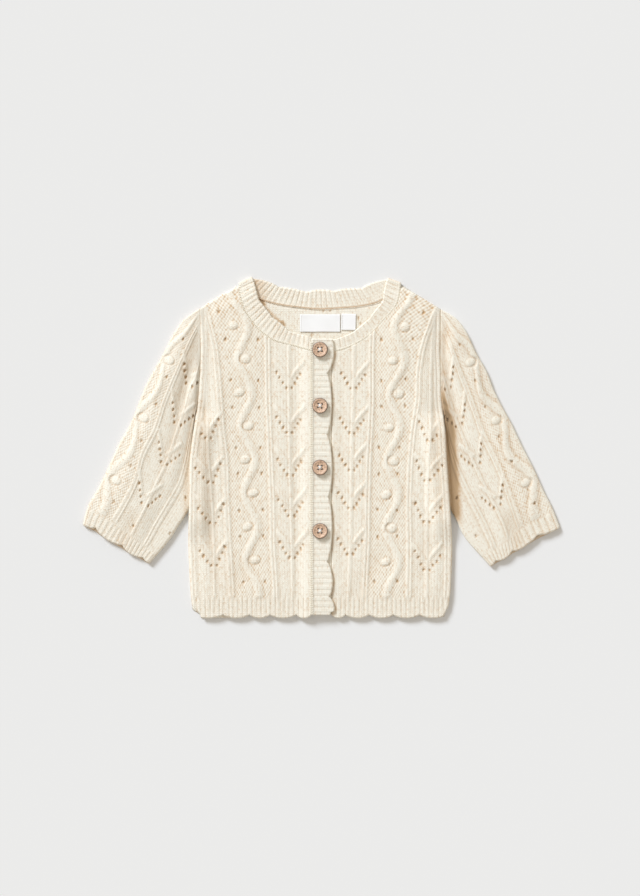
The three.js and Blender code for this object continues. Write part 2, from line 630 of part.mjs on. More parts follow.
function button(y) {
  const { radius, thickness } = buttonSeat;
  const profile = [[0, 0], [radius - 1.2, 0], [radius, 0.9], [radius - 0.3, thickness - 0.3],
    [radius - 1, thickness], [radius - 2.2, thickness - 0.8], [0, thickness - 0.8]].map(([r, z]) =>
    new THREE.Vector2(r, z));
  let solid = toSolid(new THREE.LatheGeometry(profile, 22).rotateX(Math.PI / 2));
  for (const [dx, dy] of [[-1, -1], [1, -1], [-1, 1], [1, 1]]) {
    const hole = new THREE.CylinderGeometry(0.9, 0.9, 8, 6).rotateX(Math.PI / 2).translate(1.6 * dx, 1.6 * dy, 1);
    solid = solid.subtract(toSolid(hole));
  }
  const seat = frontInside(rightSide, -8.9, y) + gap / 4 + wall + weltRelief + gap;
  return solid.translate([buttonSeat.x, y, seat]);
}

const labelThickness = 0.6;

function label(x0, x1, y0, y1, turn) {
  const plate = new THREE.BoxGeometry(x1 - x0, y1 - y0, labelThickness).rotateZ(turn);
  return toSolid(plate).translate([(x0 + x1) / 2, (y0 + y1) / 2, wall + gap + labelThickness / 2]);
}

// The garment

const knit = { color: 0xe9e0c9, roughness: 0.9, metalness: 0 };
const coconut = { color: 0x8d6a4a, roughness: 0.5, metalness: 0 };
const satin = { color: 0xf2f1f0, roughness: 0.6, metalness: 0 };

const group = new THREE.Group();

function addPiece(name, solid, finish) {
  const mesh = new THREE.Mesh(toGeometry(solid), new THREE.MeshStandardMaterial(finish));
  mesh.name = name;
  group.add(mesh);
}

addPiece('back', back(), knit);
addPiece('front_right', front(rightSide, bandSeam - gap / 2), knit);
addPiece('front_left', front(leftSide, buttonBandSeam + gap / 2), knit);
addPiece('sleeve_right', sleeve(rightSleeve), knit);
addPiece('sleeve_left', sleeve(leftSleeve), knit);
addPiece('neckband', neckband(), knit);
addPiece('buttonhole_band', buttonholeBand(), knit);
addPiece('button_band', buttonBand(), knit);
buttonHeights.forEach((y, i) => addPiece(`button_${i + 1}`, button(y), coconut));
addPiece('neck_label', label(-18, 18.5, 104.5, 120.5, 0), satin);
addPiece('size_label', label(19.2, 32.5, 106, 121, -0.03), satin);

// The origin is under the middle of the whole garment, on the surface it lies on
const box = new THREE.Box3().setFromObject(group);
const centre = box.getCenter(point(0, 0, 0));
group.children.forEach((mesh) => mesh.geometry.translate(-centre.x, -centre.y, -box.min.z));

export default group;
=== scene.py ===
import bmesh
import bpy
import numpy as np
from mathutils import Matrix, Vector
from mathutils.kdtree import KDTree


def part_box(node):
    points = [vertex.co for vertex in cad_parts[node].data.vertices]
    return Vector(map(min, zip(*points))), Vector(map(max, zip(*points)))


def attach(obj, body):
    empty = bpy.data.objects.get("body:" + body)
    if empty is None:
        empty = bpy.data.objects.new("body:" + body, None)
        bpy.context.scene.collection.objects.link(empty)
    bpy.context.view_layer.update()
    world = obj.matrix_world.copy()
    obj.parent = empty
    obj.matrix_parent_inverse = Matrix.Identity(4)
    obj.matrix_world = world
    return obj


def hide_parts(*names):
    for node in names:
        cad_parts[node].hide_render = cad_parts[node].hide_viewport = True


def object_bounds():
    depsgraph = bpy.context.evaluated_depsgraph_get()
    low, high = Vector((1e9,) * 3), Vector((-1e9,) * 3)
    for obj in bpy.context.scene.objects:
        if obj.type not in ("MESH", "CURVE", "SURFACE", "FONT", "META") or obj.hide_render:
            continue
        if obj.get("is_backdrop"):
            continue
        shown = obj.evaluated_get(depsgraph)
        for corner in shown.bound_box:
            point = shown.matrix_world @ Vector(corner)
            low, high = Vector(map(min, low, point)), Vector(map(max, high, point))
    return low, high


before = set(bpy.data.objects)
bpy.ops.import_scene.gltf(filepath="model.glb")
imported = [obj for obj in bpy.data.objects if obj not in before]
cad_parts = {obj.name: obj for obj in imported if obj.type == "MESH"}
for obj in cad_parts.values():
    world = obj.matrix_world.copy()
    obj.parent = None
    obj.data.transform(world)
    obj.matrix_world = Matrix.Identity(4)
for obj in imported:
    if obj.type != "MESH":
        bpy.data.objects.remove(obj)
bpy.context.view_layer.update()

# Back panel
# One knitted piece in plain stitch, the lowest layer of the garment. It lies flat on the surface, its neck
# carries the neckband, and its sides are sewn to the fronts and rise over the tucked edges of the sleeves.

WALL = 1.8
GAP = 0.3
LAYER = WALL + GAP
HEM_LINE = -135.0
HEM_END = -153.5
SCALLOP_DEPTH = 3.4

# Heights down the body, in millimetres, at which the guide lines of the knitting are given by their X
levels = np.array([147.5, 124, 101.5, 88, 68.5, 43, 16, -11, -47, -87.5, -128, -153])
right_half = {
    "sign": -1,
    "edge": [-108, -108, -108, -107.5, -108, -110, -113.5, -117, -117.5, -118.5, -116.5, -113.5],
    "side_rib": [-104.5, -104.5, -104, -104, -104.5, -106, -110, -113.5, -114.5, -114.5, -113, -111.5],
    "outer_spine": [-111.5, -107, -104, -103, -102.5, -102, -101, -100, -97, -95.5, -95, -94.5],
    "outer_rib": [-112.5, -103, -97, -94, -92, -90, -88, -85, -84, -82, -79.5, -79],
    "cable": [-77.5, -73, -69.5, -68.5, -68, -66.5, -65.5, -64, -62.5, -61.5, -60.5, -60.5],
    "inner_rib": [-48.5, -48, -47.5, -47, -47, -46.5, -45.5, -44.5, -43, -42.5, -40, -39.5],
    "inner_spine": [-28, -28, -28, -28, -28, -27.5, -27.5, -27, -26, -25, -24.5, -24],
    "shoulder": (-108, 126, 0.574),
    "corner": 6.5,
    "scallops": [-113.5, -87.5, -63.5, -45, -21.5, -7.5],
    "neck_seam": [(-7.5, 88), (-18, 91), (-27, 93.5), (-40.5, 97), (-48.5, 101.5), (-56, 108), (-63, 117),
                  (-67.5, 124), (-70.5, 133), (-72, 141), (-72, 147.5)],
    "neck_edge": [(-7.5, 100.5), (-18, 102.5), (-27, 106), (-36, 113), (-45, 121.5), (-52, 130.5),
                  (-56.5, 140), (-59.5, 153)],
}
left_half = {
    "sign": 1,
    "edge": [108.5, 108.5, 108.5, 108, 109, 109.5, 112.5, 114, 116.5, 119, 117.5, 114.5],
    "side_rib": [105, 105, 105, 104.5, 105.5, 106, 109, 110.5, 113, 115, 114.5, 112.5],
    "outer_spine": [108, 104.5, 101.5, 101, 100, 100, 99.5, 97.5, 96, 96, 96, 96],
    "outer_rib": [113.5, 104.5, 96, 92, 89, 88, 84, 81.5, 80, 80.5, 80, 80],
    "cable": [80, 74, 71.5, 71, 70, 68, 66.5, 65.5, 65, 65, 65.5, 65.5],
    "inner_rib": [47, 47, 47, 46.5, 46.5, 46.5, 45.5, 44, 43, 42.5, 40.5, 40],
    "inner_spine": [30.5, 30.5, 30.5, 30.5, 30.5, 30, 29, 28.5, 28, 27.5, 26, 25.5],
    "shoulder": (109, 125, -0.545),
    "corner": 3,
    "scallops": [10.5, 23, 44.5, 66, 89.5, 114],
    "neck_seam": [(10.3, 87), (22.5, 90), (32.5, 94.5), (41.5, 100), (49.5, 107), (56.5, 115), (63, 121.5),
                  (68.5, 129), (71, 138), (72, 147.5)],
    "neck_edge": [(10.3, 98), (18, 99.5), (27, 103.5), (34, 108), (41.5, 114.5), (47.5, 121.5),
                  (53, 128.5), (56, 134), (57.5, 142), (59.5, 152)],
}
back_neck_seam = [(-72, 147.5), (-63, 140), (-52, 134), (-36, 129.5), (-18, 127), (0, 125.5), (18, 126.5),
                  (36, 128), (55, 133), (64, 139.5), (72, 147.5)]
back_neck_edge = [(-59.5, 153), (-52, 151.5), (-45, 149.5), (-33.5, 146), (-15.5, 142.5), (0, 143),
                  (18, 143.5), (33.5, 145), (45, 148.5), (54, 151), (59.5, 152)]

# The drawing's middle line runs through the buttons, and its first button is at this height
FIRST_BUTTON = 88.5
low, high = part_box("button_1")
drawing_shift = np.array([(low.x + high.x) * 500, (low.y + high.y) * 500 - FIRST_BUTTON, 0])


def rise(start, end, value):
    t = np.clip((value - start) / (end - start), 0, 1)
    return t * t * (3 - 2 * t)


def bump(distance, half_width):
    return np.where(np.abs(distance) < half_width, 0.5 + 0.5 * np.cos(np.pi * distance / half_width), 0)


def rounded(distance, radius):
    """Share of the full height at a distance from a rounded edge"""
    return np.sqrt(1 - (1 - np.clip(distance / radius, 0, 1)) ** 2)


def line_at(values, y):
    """A guide line's X at heights y"""
    values = np.asarray(values, float)
    slope = np.gradient(values)
    slope[1:-1] = (values[2:] - values[:-2]) / (levels[2:] - levels[:-2])
    slope[0] = (values[1] - values[0]) / (levels[1] - levels[0])
    slope[-1] = (values[-1] - values[-2]) / (levels[-1] - levels[-2])
    y = np.asarray(y, float)
    i = np.clip(np.searchsorted(-levels, -y, side="right") - 1, 0, len(levels) - 2)
    step = levels[i + 1] - levels[i]
    t = np.clip((y - levels[i]) / step, 0, 1)
    first = values[i] + slope[i] * step * t * (1 - t) ** 2
    second = values[i + 1] - slope[i + 1] * step * t * t * (1 - t)
    x = first + (second - first) * t * t * (3 - 2 * t)
    x = np.where(y > levels[0], values[0] + slope[0] * (y - levels[0]), x)
    return np.where(y < levels[-1], values[-1] + slope[-1] * (y - levels[-1]), x)


def curve_through(points):
    """A smooth line through the points, with the share of its length at each of its places"""
    p = np.array(points, float)
    p = np.vstack([2 * p[0] - p[1], p, 2 * p[-1] - p[-2]])
    t = np.linspace(0, 1, 40, endpoint=False)[:, None]
    parts = []
    for a, b, c, d in zip(p, p[1:], p[2:], p[3:]):
        before, here, after = (np.linalg.norm(v) ** 0.5 for v in (b - a, c - b, d - c))
        leave = ((b - a) / before - (c - a) / (before + here) + (c - b) / here) * here
        arrive = ((c - b) / here - (d - b) / (here + after) + (d - c) / after) * here
        parts.append((2 * t**3 - 3 * t**2 + 1) * b + (t**3 - 2 * t**2 + t) * leave
                     + (3 * t**2 - 2 * t**3) * c + (t**3 - t**2) * arrive)
    line = np.vstack(parts + [p[-2:-1]])
    reach = np.r_[0, np.cumsum(np.linalg.norm(np.diff(line, axis=0), axis=1))]
    return line, reach / reach[-1], reach[-1]


def along(curve, share):
    line, reach, length = curve
    return np.stack([np.interp(share, reach, line[:, 0]), np.interp(share, reach, line[:, 1])], -1)


def scallop(notches, at, depth):
    """How far a scalloped edge stands out between its notches"""
    i = np.clip(np.searchsorted(notches, at, side="right") - 1, 0, len(notches) - 2)
    notches = np.asarray(notches, float)
    t = np.clip((at - notches[i]) / (notches[i + 1] - notches[i]), 0, 1)
    return depth * np.sin(np.pi * t) ** 0.6


def hem_edge(half, x):
    return HEM_END + SCALLOP_DEPTH - scallop(half["scallops"], x, SCALLOP_DEPTH)


# The body's side rises over the tucked sleeve between these heights, and this far inwards
TUCK_TOP = (12.5, 36)
TUCK_FOOT = (-90, -62)
TUCK_DEPTH = (10, 24)


def from_side(half, x, y):
    """How far a place lies inwards from the body's side"""
    return half["sign"] * (line_at(half["edge"], y) - x)


def side_lift(half, x, y):
    tucked = (1 - rise(*TUCK_TOP, y)) * rise(*TUCK_FOOT, y)
    return 2 * LAYER * tucked * (1 - rise(*TUCK_DEPTH, from_side(half, x, y)))


def shoulder_height(half, x):
    x0, y0, slope = half["shoulder"]
    return y0 + slope * (x - x0) + 1.1 * bump(np.abs(x) - 90, 18)


def in_metres(points):
    """Places of the drawing as places in the scene"""
    return (np.asarray(points) + drawing_shift) / 1000


def put_in_scene(name, data):
    piece = bpy.data.objects.new(name, data)
    bpy.context.scene.collection.objects.link(piece)
    return piece


def nearest(points):
    """A tree that finds the nearest of the points"""
    tree = KDTree(len(points))
    for k, p in enumerate(points):
        tree.insert(p, k)
    tree.balance()
    return tree


def draw_rim(rim, outline, top, under):
    """Moves the rim of a net of points to an outline"""
    line = nearest(np.c_[outline, np.zeros(len(outline))])
    for k in rim:
        place = line.find((top[k, 0], top[k, 1], 0))[0][:2]
        under[k, :2] += np.array(place) - top[k, :2]
        top[k, :2] = place


EYELET_REACH = 4
EYELET_FLOOR = 1.0
RIM_SHARE = 0.3


def sink_eyelets(eyelets, eyelets_from, top, under):
    """Sinks the points inside each eyelet, draws those round it to its rim and gives each point's share in
    a pit, which the knit paints as shade. Eyelets are (x, y, half width, half height, turn)."""
    pit = np.zeros(len(top))
    for x, y, wide, tall, turn in eyelets:
        c, s = np.cos(turn), np.sin(turn)
        close = (np.abs(top[:, :2] - (x, y)) < EYELET_REACH).all(1)
        near = np.flatnonzero(close & (top[:, 2] > eyelets_from))
        away = top[near, :2] - (x, y)
        u = (away[:, 0] * c + away[:, 1] * s) / wide
        v = (away[:, 1] * c - away[:, 0] * s) / tall
        reach = np.hypot(u, v)
        inside = reach < 0.85
        ring = (reach < 1.4) & ~inside
        pull = 1 / reach[ring]
        place = np.stack([(u[ring] * c * wide - v[ring] * s * tall) * pull,
                          (u[ring] * s * wide + v[ring] * c * tall) * pull], -1) + (x, y)
        under[near[ring], :2] += place - top[near[ring], :2]
        top[near[ring], :2] = place
        sunk = near[inside]
        top[sunk, 2] = under[sunk, 2] + EYELET_FLOOR
        pit[sunk] = 1
        pit[near[ring]] = np.maximum(pit[near[ring]], RIM_SHARE)
    return pit


def smoothed(heights):
    """Heights evened out over the nearest rows and columns"""
    for axis in (0, 1, 0, 1):
        around = np.pad(heights, [(2, 2) if k == axis else (0, 0) for k in (0, 1)], mode="edge")
        heights = sum(np.take(around, np.arange(k, k + heights.shape[axis]), axis) for k in range(5)) / 5
    return heights


EDGE_ROUNDING = 1.1
# How deep a hollow of the relief must be for full painted shade, and the painted shade of an eyelet's pit
HOLLOW_DEPTH = 0.35
PIT_SHADE = 2.0


def knit_shell(name, outer, inner, stitches, ribbing, relief, purl=0, wrap=False, eyelets=(),
               eyelets_from=0, lip=EDGE_ROUNDING, outside=None, outline=None, shade=0):
    """A closed skin of cloth between an outer and an inner net of points, in millimetres of the drawing.
    Its edges are rounded over the lip's width. Cells of the net whose corners lie outside are left out, and
    the rest is moved to the outline. Stitches and ribbing are the maps of the knitting. The hollows of the
    relief and the eyelets' pits get painted shade, and shade is further painted shade added to that."""
    rows, cols = outer.shape[:2]
    across = cols if wrap else cols - 1
    nets = np.arange(rows * cols).reshape(rows, cols)
    ahead = (np.arange(across) + 1) % cols
    cells = np.stack([nets[:-1, :across], nets[:-1][:, ahead], nets[1:][:, ahead], nets[1:, :across]], -1)
    top = outer.reshape(-1, 3).copy()
    under = inner.reshape(-1, 3).copy()
    kept = np.ones(cells.shape[:2], bool)
    if outside is not None:
        kept = outside.reshape(-1)[cells].mean(-1) < 0.5
        rim = np.intersect1d(np.unique(cells[~kept]), np.unique(cells[kept]))
        draw_rim(rim, outline, top, under)
    pit = sink_eyelets(eyelets, eyelets_from, top, under)
    shown = cells[kept]
    sides = np.concatenate([shown[:, [k, (k + 1) % 4]] for k in range(4)])
    pairs, counts = np.unique(np.sort(sides, 1), axis=0, return_counts=True)
    edge = np.unique(pairs[counts == 1])
    edge_tree = nearest(top[edge])
    used = np.unique(shown)
    near = np.array([edge_tree.find(p)[2] for p in top[used]])
    lip = np.broadcast_to(lip, (rows, cols)).reshape(-1)[used]
    full = np.zeros(len(top))
    full[used] = rounded(near, lip)
    full[edge] = 0
    half_way = (top + under) / 2
    top = half_way + (top - half_way) * full[:, None]
    under = half_way + (under - half_way) * full[:, None]
    # The inner net's points follow the outer ones, and both share the points of the edges
    number = np.zeros(len(top), int)
    number[used] = np.arange(len(used))
    free = np.setdiff1d(used, edge)
    inner_number = number.copy()
    inner_number[free] = len(used) + np.arange(len(free))
    points = np.vstack([top[used], under[free]])
    faces = np.vstack([number[shown], inner_number[shown][:, ::-1]])
    row = np.broadcast_to(np.arange(rows - 1)[:, None], kept.shape)[kept]
    col = np.broadcast_to(np.arange(across)[None, :], kept.shape)[kept]
    uvs = []
    for grid in (stitches, ribbing):
        corners = ((row, col), (row, col + 1), (row + 1, col + 1), (row + 1, col))
        corner = np.stack([grid[place] for place in corners], 1)
        uvs.append(np.vstack([corner, corner[:, ::-1]]))
    a, b, c, d = (points[faces[:, k]] for k in range(4))
    volume = np.einsum("ij,ij->", np.cross(a, b), c) + np.einsum("ij,ij->", np.cross(a, c), d)
    if volume < 0:
        faces = faces[:, ::-1]
        uvs = [uv[:, ::-1] for uv in uvs]
    mesh = bpy.data.meshes.new(name)
    mesh.from_pydata(in_metres(points).tolist(), [], faces.tolist())
    for title, uv in zip(("stitches", "ribbing"), uvs):
        mesh.uv_layers.new(name=title).data.foreach_set("uv", uv.reshape(-1).astype(np.float32))
    # Purl ground, and the painted shade of the knitting's hollows, of its eyelets' pits and of the shade
    # given
    hollow = np.clip((smoothed(relief) - relief) / HOLLOW_DEPTH, 0, 1).reshape(-1)
    hollow = np.maximum(hollow, pit * PIT_SHADE) + np.broadcast_to(shade, (rows, cols)).reshape(-1)
    ground = np.broadcast_to(purl, (rows, cols)).reshape(-1)
    for title, values in (("purl", ground), ("hollow", hollow)):
        data = np.concatenate([values[used], values[free]]).astype(np.float32)
        mesh.attributes.new(title, "FLOAT", "POINT").data.foreach_set("value", data)
    mesh.validate()
    mesh.shade_smooth()
    return put_in_scene(name, mesh)


# Cream cotton yarn, matt and slightly hairy: plain stitches are rows of V, purl ground is staggered bumps,
# ribs have a groove between them. A warm tan is painted as shade between stitches, in the rib grooves and
# in the hollows, and also gives each stitch its own random tone.
WALE = 2.5
COURSE = 2.0
YARN = (0.965, 0.925, 0.815, 1)
SHADE_AND_TONE_TAN = (0.66, 0.45, 0.26, 1)


def fill(tree, node, values):
    """Sets a node's inputs to numbers or colours, or joins them to other nodes"""
    for title, value in values.items():
        if isinstance(value, bpy.types.NodeSocket):
            tree.links.new(value, node.inputs[title])
        else:
            node.inputs[title].default_value = value


def add(tree, kind, values=None, **settings):
    """A new node with its settings and inputs"""
    node = tree.nodes.new(kind)
    for title, value in settings.items():
        setattr(node, title, value)
    fill(tree, node, values or {})
    return node


def sums(tree, kind, *values):
    """A maths node whose inputs are sockets or numbers"""
    return add(tree, "ShaderNodeMath", dict(enumerate(values)), operation=kind).outputs[0]


def blend(tree, share, first, second):
    """Goes from the first colour to the second"""
    return add(tree, "ShaderNodeMix", {0: share, 6: first, 7: second}, data_type="RGBA").outputs[2]


def new_material(title):
    material = bpy.data.materials.new(title)
    material.use_nodes = True
    tree = material.node_tree
    return material, tree, tree.nodes["Principled BSDF"]


def cotton_knit():
    material, tree, shader = new_material("cream cotton knit")
    fill(tree, shader, {"Roughness": 0.92, "Specular IOR Level": 0.2, "Sheen Weight": 0.08,
                        "Sheen Roughness": 0.6})
    place = add(tree, "ShaderNodeTexCoord").outputs["Object"]
    maps = {}
    for title in ("stitches", "ribbing"):
        layer = add(tree, "ShaderNodeUVMap", uv_map=title)
        maps[title] = add(tree, "ShaderNodeSeparateXYZ", {0: layer.outputs["UV"]}).outputs
    purl = add(tree, "ShaderNodeAttribute", attribute_name="purl").outputs["Fac"]
    hollow = add(tree, "ShaderNodeAttribute", attribute_name="hollow").outputs["Fac"]
    # Yarns never lie quite even, so a slow unevenness shifts the stitches a little
    uneven = add(tree, "ShaderNodeTexNoise", {"Scale": 260, "Detail": 1, "Vector": place}).outputs["Fac"]
    drift = sums(tree, "SUBTRACT", uneven, 0.5)
    wale = sums(tree, "MULTIPLY_ADD", drift, 0.5, maps["stitches"][0])
    course = sums(tree, "MULTIPLY_ADD", drift, 0.7, maps["stitches"][1])
    # A plain stitch: two slanting legs beside the middle of its column, and a groove between columns
    side = sums(tree, "ABSOLUTE", sums(tree, "SUBTRACT", sums(tree, "FRACT", wale), 0.5))
    between = sums(tree, "POWER", sums(tree, "MULTIPLY", side, 2), 4)
    slant = sums(tree, "MULTIPLY_ADD", side, 1.1, course)
    loop = sums(tree, "COSINE", sums(tree, "MULTIPLY", slant, 2 * np.pi))
    loop = sums(tree, "MULTIPLY_ADD", loop, 0.3, 0.7)
    plain = sums(tree, "MULTIPLY", sums(tree, "SUBTRACT", 1, sums(tree, "MULTIPLY", between, 0.6)), loop)
    # A purl stitch: a bump beside the gap of the next row
    purl_across = sums(tree, "COSINE", sums(tree, "MULTIPLY", wale, 2 * np.pi))
    purl_along = sums(tree, "COSINE", sums(tree, "MULTIPLY", course, np.pi))
    bumps = sums(tree, "MULTIPLY_ADD", sums(tree, "MULTIPLY", purl_across, purl_along), 0.5, 0.5)
    stitch = add(tree, "ShaderNodeMix", {0: purl, 2: plain, 3: bumps}).outputs[0]
    crest = sums(tree, "ABSOLUTE", sums(tree, "COSINE", sums(tree, "MULTIPLY", maps["ribbing"][0], np.pi)))
    furrow = sums(tree, "SUBTRACT", 1, sums(tree, "POWER", crest, 0.5))
    groove = sums(tree, "MULTIPLY", furrow, maps["ribbing"][1])
    hair = add(tree, "ShaderNodeTexNoise", {"Scale": 2600, "Detail": 2, "Vector": place}).outputs["Fac"]
    height = sums(tree, "SUBTRACT", stitch, sums(tree, "MULTIPLY", groove, 0.9))
    height = sums(tree, "MULTIPLY_ADD", hair, 0.35, height)
    relief = add(tree, "ShaderNodeBump", {"Strength": 0.6, "Distance": 0.00042, "Height": height})
    # No two legs of a stitch are pulled equally tight, so each has a shade of its own
    cell = add(tree, "ShaderNodeCombineXYZ", {0: sums(tree, "FLOOR", sums(tree, "MULTIPLY", wale, 2)),
                                              1: sums(tree, "FLOOR", slant)})
    own = add(tree, "ShaderNodeTexWhiteNoise", noise_dimensions="2D")
    fill(tree, own, {"Vector": cell.outputs[0]})
    loose = sums(tree, "POWER", own.outputs["Value"], 3)
    slack = sums(tree, "MULTIPLY_ADD", loose, 0.5, 0.2)
    slack = sums(tree, "MULTIPLY_ADD", purl, 0.1, slack)
    # Painted shade: the gaps between stitches, the rib grooves and the hollow attribute darken the yarn
    # towards the tan, together with each stitch's own tone
    gap = sums(tree, "SUBTRACT", 1, stitch)
    dark = sums(tree, "MULTIPLY", sums(tree, "POWER", gap, 1.5), slack)
    for shade, share in ((loose, 0.19), (groove, 0.17), (hollow, 0.36)):
        dark = sums(tree, "MULTIPLY_ADD", shade, share, dark)
    colour = blend(tree, sums(tree, "MINIMUM", dark, 1), YARN, SHADE_AND_TONE_TAN)
    # Where the painted shade is heaviest, the colour is darkened further
    deep = add(tree, "ShaderNodeMapRange", {"Value": hollow, "From Min": 1.8, "From Max": 3.6, "To Min": 1,
                                            "To Max": 0.55})
    shaded = add(tree, "ShaderNodeVectorMath", {0: colour, "Scale": deep.outputs["Result"]},
                 operation="SCALE")
    fill(tree, shader, {"Normal": relief.outputs["Normal"], "Base Color": shaded.outputs[0]})
    return material


knit = cotton_knit()


def cloth_piece(piece, node):
    piece.data.materials.append(knit)
    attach(piece, "root")
    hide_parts(node)


# Rows are level down to the foot of the neck, and bend from there to end along the scallops
SHOULDER_TOP = 149
HEM_BEND = (84, -150)
CORNER_BEND = (-141, -151)
BODY_LENGTH = 238
HALF_CHEST = 110


def half_net(half, centre, neck, step):
    """Places over half of the body, in rows from the shoulder to the scalloped hem and in columns from the
    centre to the side, with those that lie above the neck seam and shoulder, and the line of both"""
    seam = curve_through(neck)[0] + (0, GAP)
    tip = np.array(half["shoulder"][:2], float)
    shoulder = np.linspace(seam[np.argmax(np.abs(seam[:, 0]))], tip, 300)
    shoulder[:, 1] = np.maximum(shoulder[:, 1], shoulder_height(half, shoulder[:, 0]))
    foot = HEM_BEND[0]
    above = np.arange(SHOULDER_TOP, foot, -step)
    below = foot + (HEM_END - foot) * np.linspace(0, 1, round(BODY_LENGTH / step))
    y = np.r_[above, below[below < above[-1] - step * 0.6]][:, None]
    share = np.linspace(0, 1, round(HALF_CHEST / step))[None, :]
    level = y
    for _ in range(3):
        inward = half["corner"] * rise(*CORNER_BEND, y)
        side = line_at(half["edge"], y) + half["sign"] * (GAP - inward)
        x = centre + share * (side - centre)
        y = level + (hem_edge(half, x) - HEM_END) * rise(*HEM_BEND, level)
    order = np.argsort(seam[:, 1])
    neck_x = np.interp(y, seam[order, 1], seam[order, 0] * half["sign"])
    inner = (y > seam[:, 1].min()) & (x * half["sign"] < neck_x)
    outside = inner | (y > shoulder_height(half, x)) | (y > seam[:, 1].max())
    return x, y, outside, np.vstack([seam, shoulder])


def ridge(spot, start, end, half_width):
    """A rounded line from start to end, 1 high"""
    start = np.asarray(start, float)
    span = np.asarray(end, float) - start
    t = np.clip(((spot - start) @ span) / (span @ span), 0, 1)
    off = np.linalg.norm(spot - start - t[..., None] * span, axis=-1)
    return bump(off, half_width)


BACK_STEP = 1.5
halves = []
for half in (right_half, left_half):
    seam = [p for p in back_neck_seam if p[0] * half["sign"] >= 0]
    halves.append(half_net(half, 0, seam, BACK_STEP))
x, y, outside = (np.hstack([halves[0][k][:, ::-1], halves[1][k][:, 1:]]) for k in range(3))
# At the right side the back's hem hangs a little lower, and shows in the notch of the front's hem
y = y - (hem_edge(right_half, x) - HEM_END) * rise(*HEM_BEND, y) * rise(-74, -80, x)
outline = np.vstack([halves[0][3], halves[1][3]])
raised = np.where(x < 0, side_lift(right_half, x, y), side_lift(left_half, x, y))
outer = np.stack([x, y, raised + WALL], -1)
inner = np.stack([x, y, raised], -1)
stitches = np.stack([x / WALE, y / COURSE], -1)
HEM_RIB = 4.2
ribbing = np.stack([x / HEM_RIB * np.ones_like(y), 1 - rise(HEM_LINE - 1, HEM_LINE + 1, y)], -1)
# Only the inside of the neck shows, with a few eyelets of the lace round the labels, and with painted shade
# under the folded front edge of the neck
neck_eyelets = [(2.7, 123.3, 0.9, 1.5, 0), (9, 124.2, 0.7, 1, 0), (-7.2, 101.7, 1, 1.6, 0),
                (34.5, 117, 1.2, 2.2, 0.2), (36.5, 112, 1, 1.8, -0.2), (43.2, 126, 0.6, 0.8, 0),
                (-50, 124, 0.7, 1, 0.3), (-53, 119, 0.7, 1, 0)]
spot = np.dstack([x, y])
dusk = np.maximum.reduce([3.4 * ridge(spot, (-53.5, 133), (-50.5, 129.5), 3),
                          2 * ridge(spot, (-50, 127.5), (-35, 112.5), 2.2),
                          3 * ridge(spot, (-34.2, 113.3), (-32.4, 110.8), 3)])
back = knit_shell("back_panel", outer, inner, stitches, ribbing, np.zeros_like(x), eyelets=neck_eyelets,
                  eyelets_from=WALL - 0.1, lip=0.9, outside=outside, outline=outline, shade=dusk)
cloth_piece(back, "back")

# Fronts
# Two panels knitted in cotton, from the centre outwards: a lace panel with a spine, a double rib, a wavy
# cable with bobbles on purl ground, a second double rib, a second lace panel and a double rib at the side
# seam.

RIB_HEIGHT = 0.6
RIB_SPACING = 1.5
RIB_HALF = 2.0
CABLE_HEIGHT = 0.75
CABLE_HALF = 4.8
SPINE_HEIGHT = 0.5
SPINE_HALF = 2.4
WAVE_SWING = 5.6
WAVE_PERIOD = 60.4
BOBBLE_REACH = 1.35
SMALLEST_BOBBLE = (4.5, 3.6, 0.6)
LARGEST_BOBBLE = (5.1, 4.3, 0.8)
HEM_RIB_HEIGHT = 0.2
PUFF = 1.5
SWELL_FOOT = (-153, -123)
OVERLAP_RISE = (-22, -9)

right_half.update(
    top=110.5,
    bobbles=[-7.5, 1.5, -6, 1.5, -3.5, 2.5, -3.5, 2.5],
    overlap=True,
    inner_lace=[50.9, 10.4, -27.5, -64.4, -102.2],
    outer_lace=[5.4, -34.2, -71, -108.9],
)
left_half.update(
    top=109.0,
    bobbles=[4, -5, 2.5, -4.5, 1, -5.5, 0, -6],
    overlap=False,
    inner_lace=[50.4, 9.9, -23.4, -57.6, -99],
    outer_lace=[3.6, -32.4, -70.2, -113.4],
)
# Heights of the eyelet pairs on the purl ground
pair_heights = [123, 97, 61, 37, 1, -23.5, -56, -79.5, -120.5]

# Soft troughs (-) and swells (+) of the laid cloth: X and Y of both ends, half width and height
front_creases = {
    -1: [(-107, 40, -104, -10, 9, -1.5), (-104, -10, -100, -80, 8, -0.9), (-90, 60, -92, -20, 8, 0.8),
         (-98, -70, -92, -125, 8, -0.7), (-38, 60, -33, -100, 12, 0.5), (-70, 120, -62, 60, 14, 0.7),
         (-60, -100, -85, -135, 12, -0.6), (-20, 60, -18, -120, 7, -0.5)],
    1: [(106, 30, 108, -60, 8, -1.1), (92, 60, 90, -30, 8, 0.7), (98, -70, 92, -125, 8, -0.6),
        (38, 60, 36, -100, 12, 0.5), (72, 118, 64, 50, 14, 0.8), (55, -95, 30, -140, 12, -0.6),
        (18, 70, 18, -120, 6, -0.6)],
}


def crease_height(creases, x, y):
    height = np.zeros_like(x)
    for x0, y0, x1, y1, half_width, depth in creases:
        span = np.array([x1 - x0, y1 - y0], float)
        length = np.hypot(*span)
        t = ((x - x0) * span[0] + (y - y0) * span[1]) / length**2
        off = ((x - x0) * span[1] - (y - y0) * span[0]) / length
        ends = rise(-0.25, 0.25, t) * (1 - rise(0.75, 1.25, t))
        height += depth * np.exp(-(off / half_width) ** 2 * 1.6) * ends
    return height


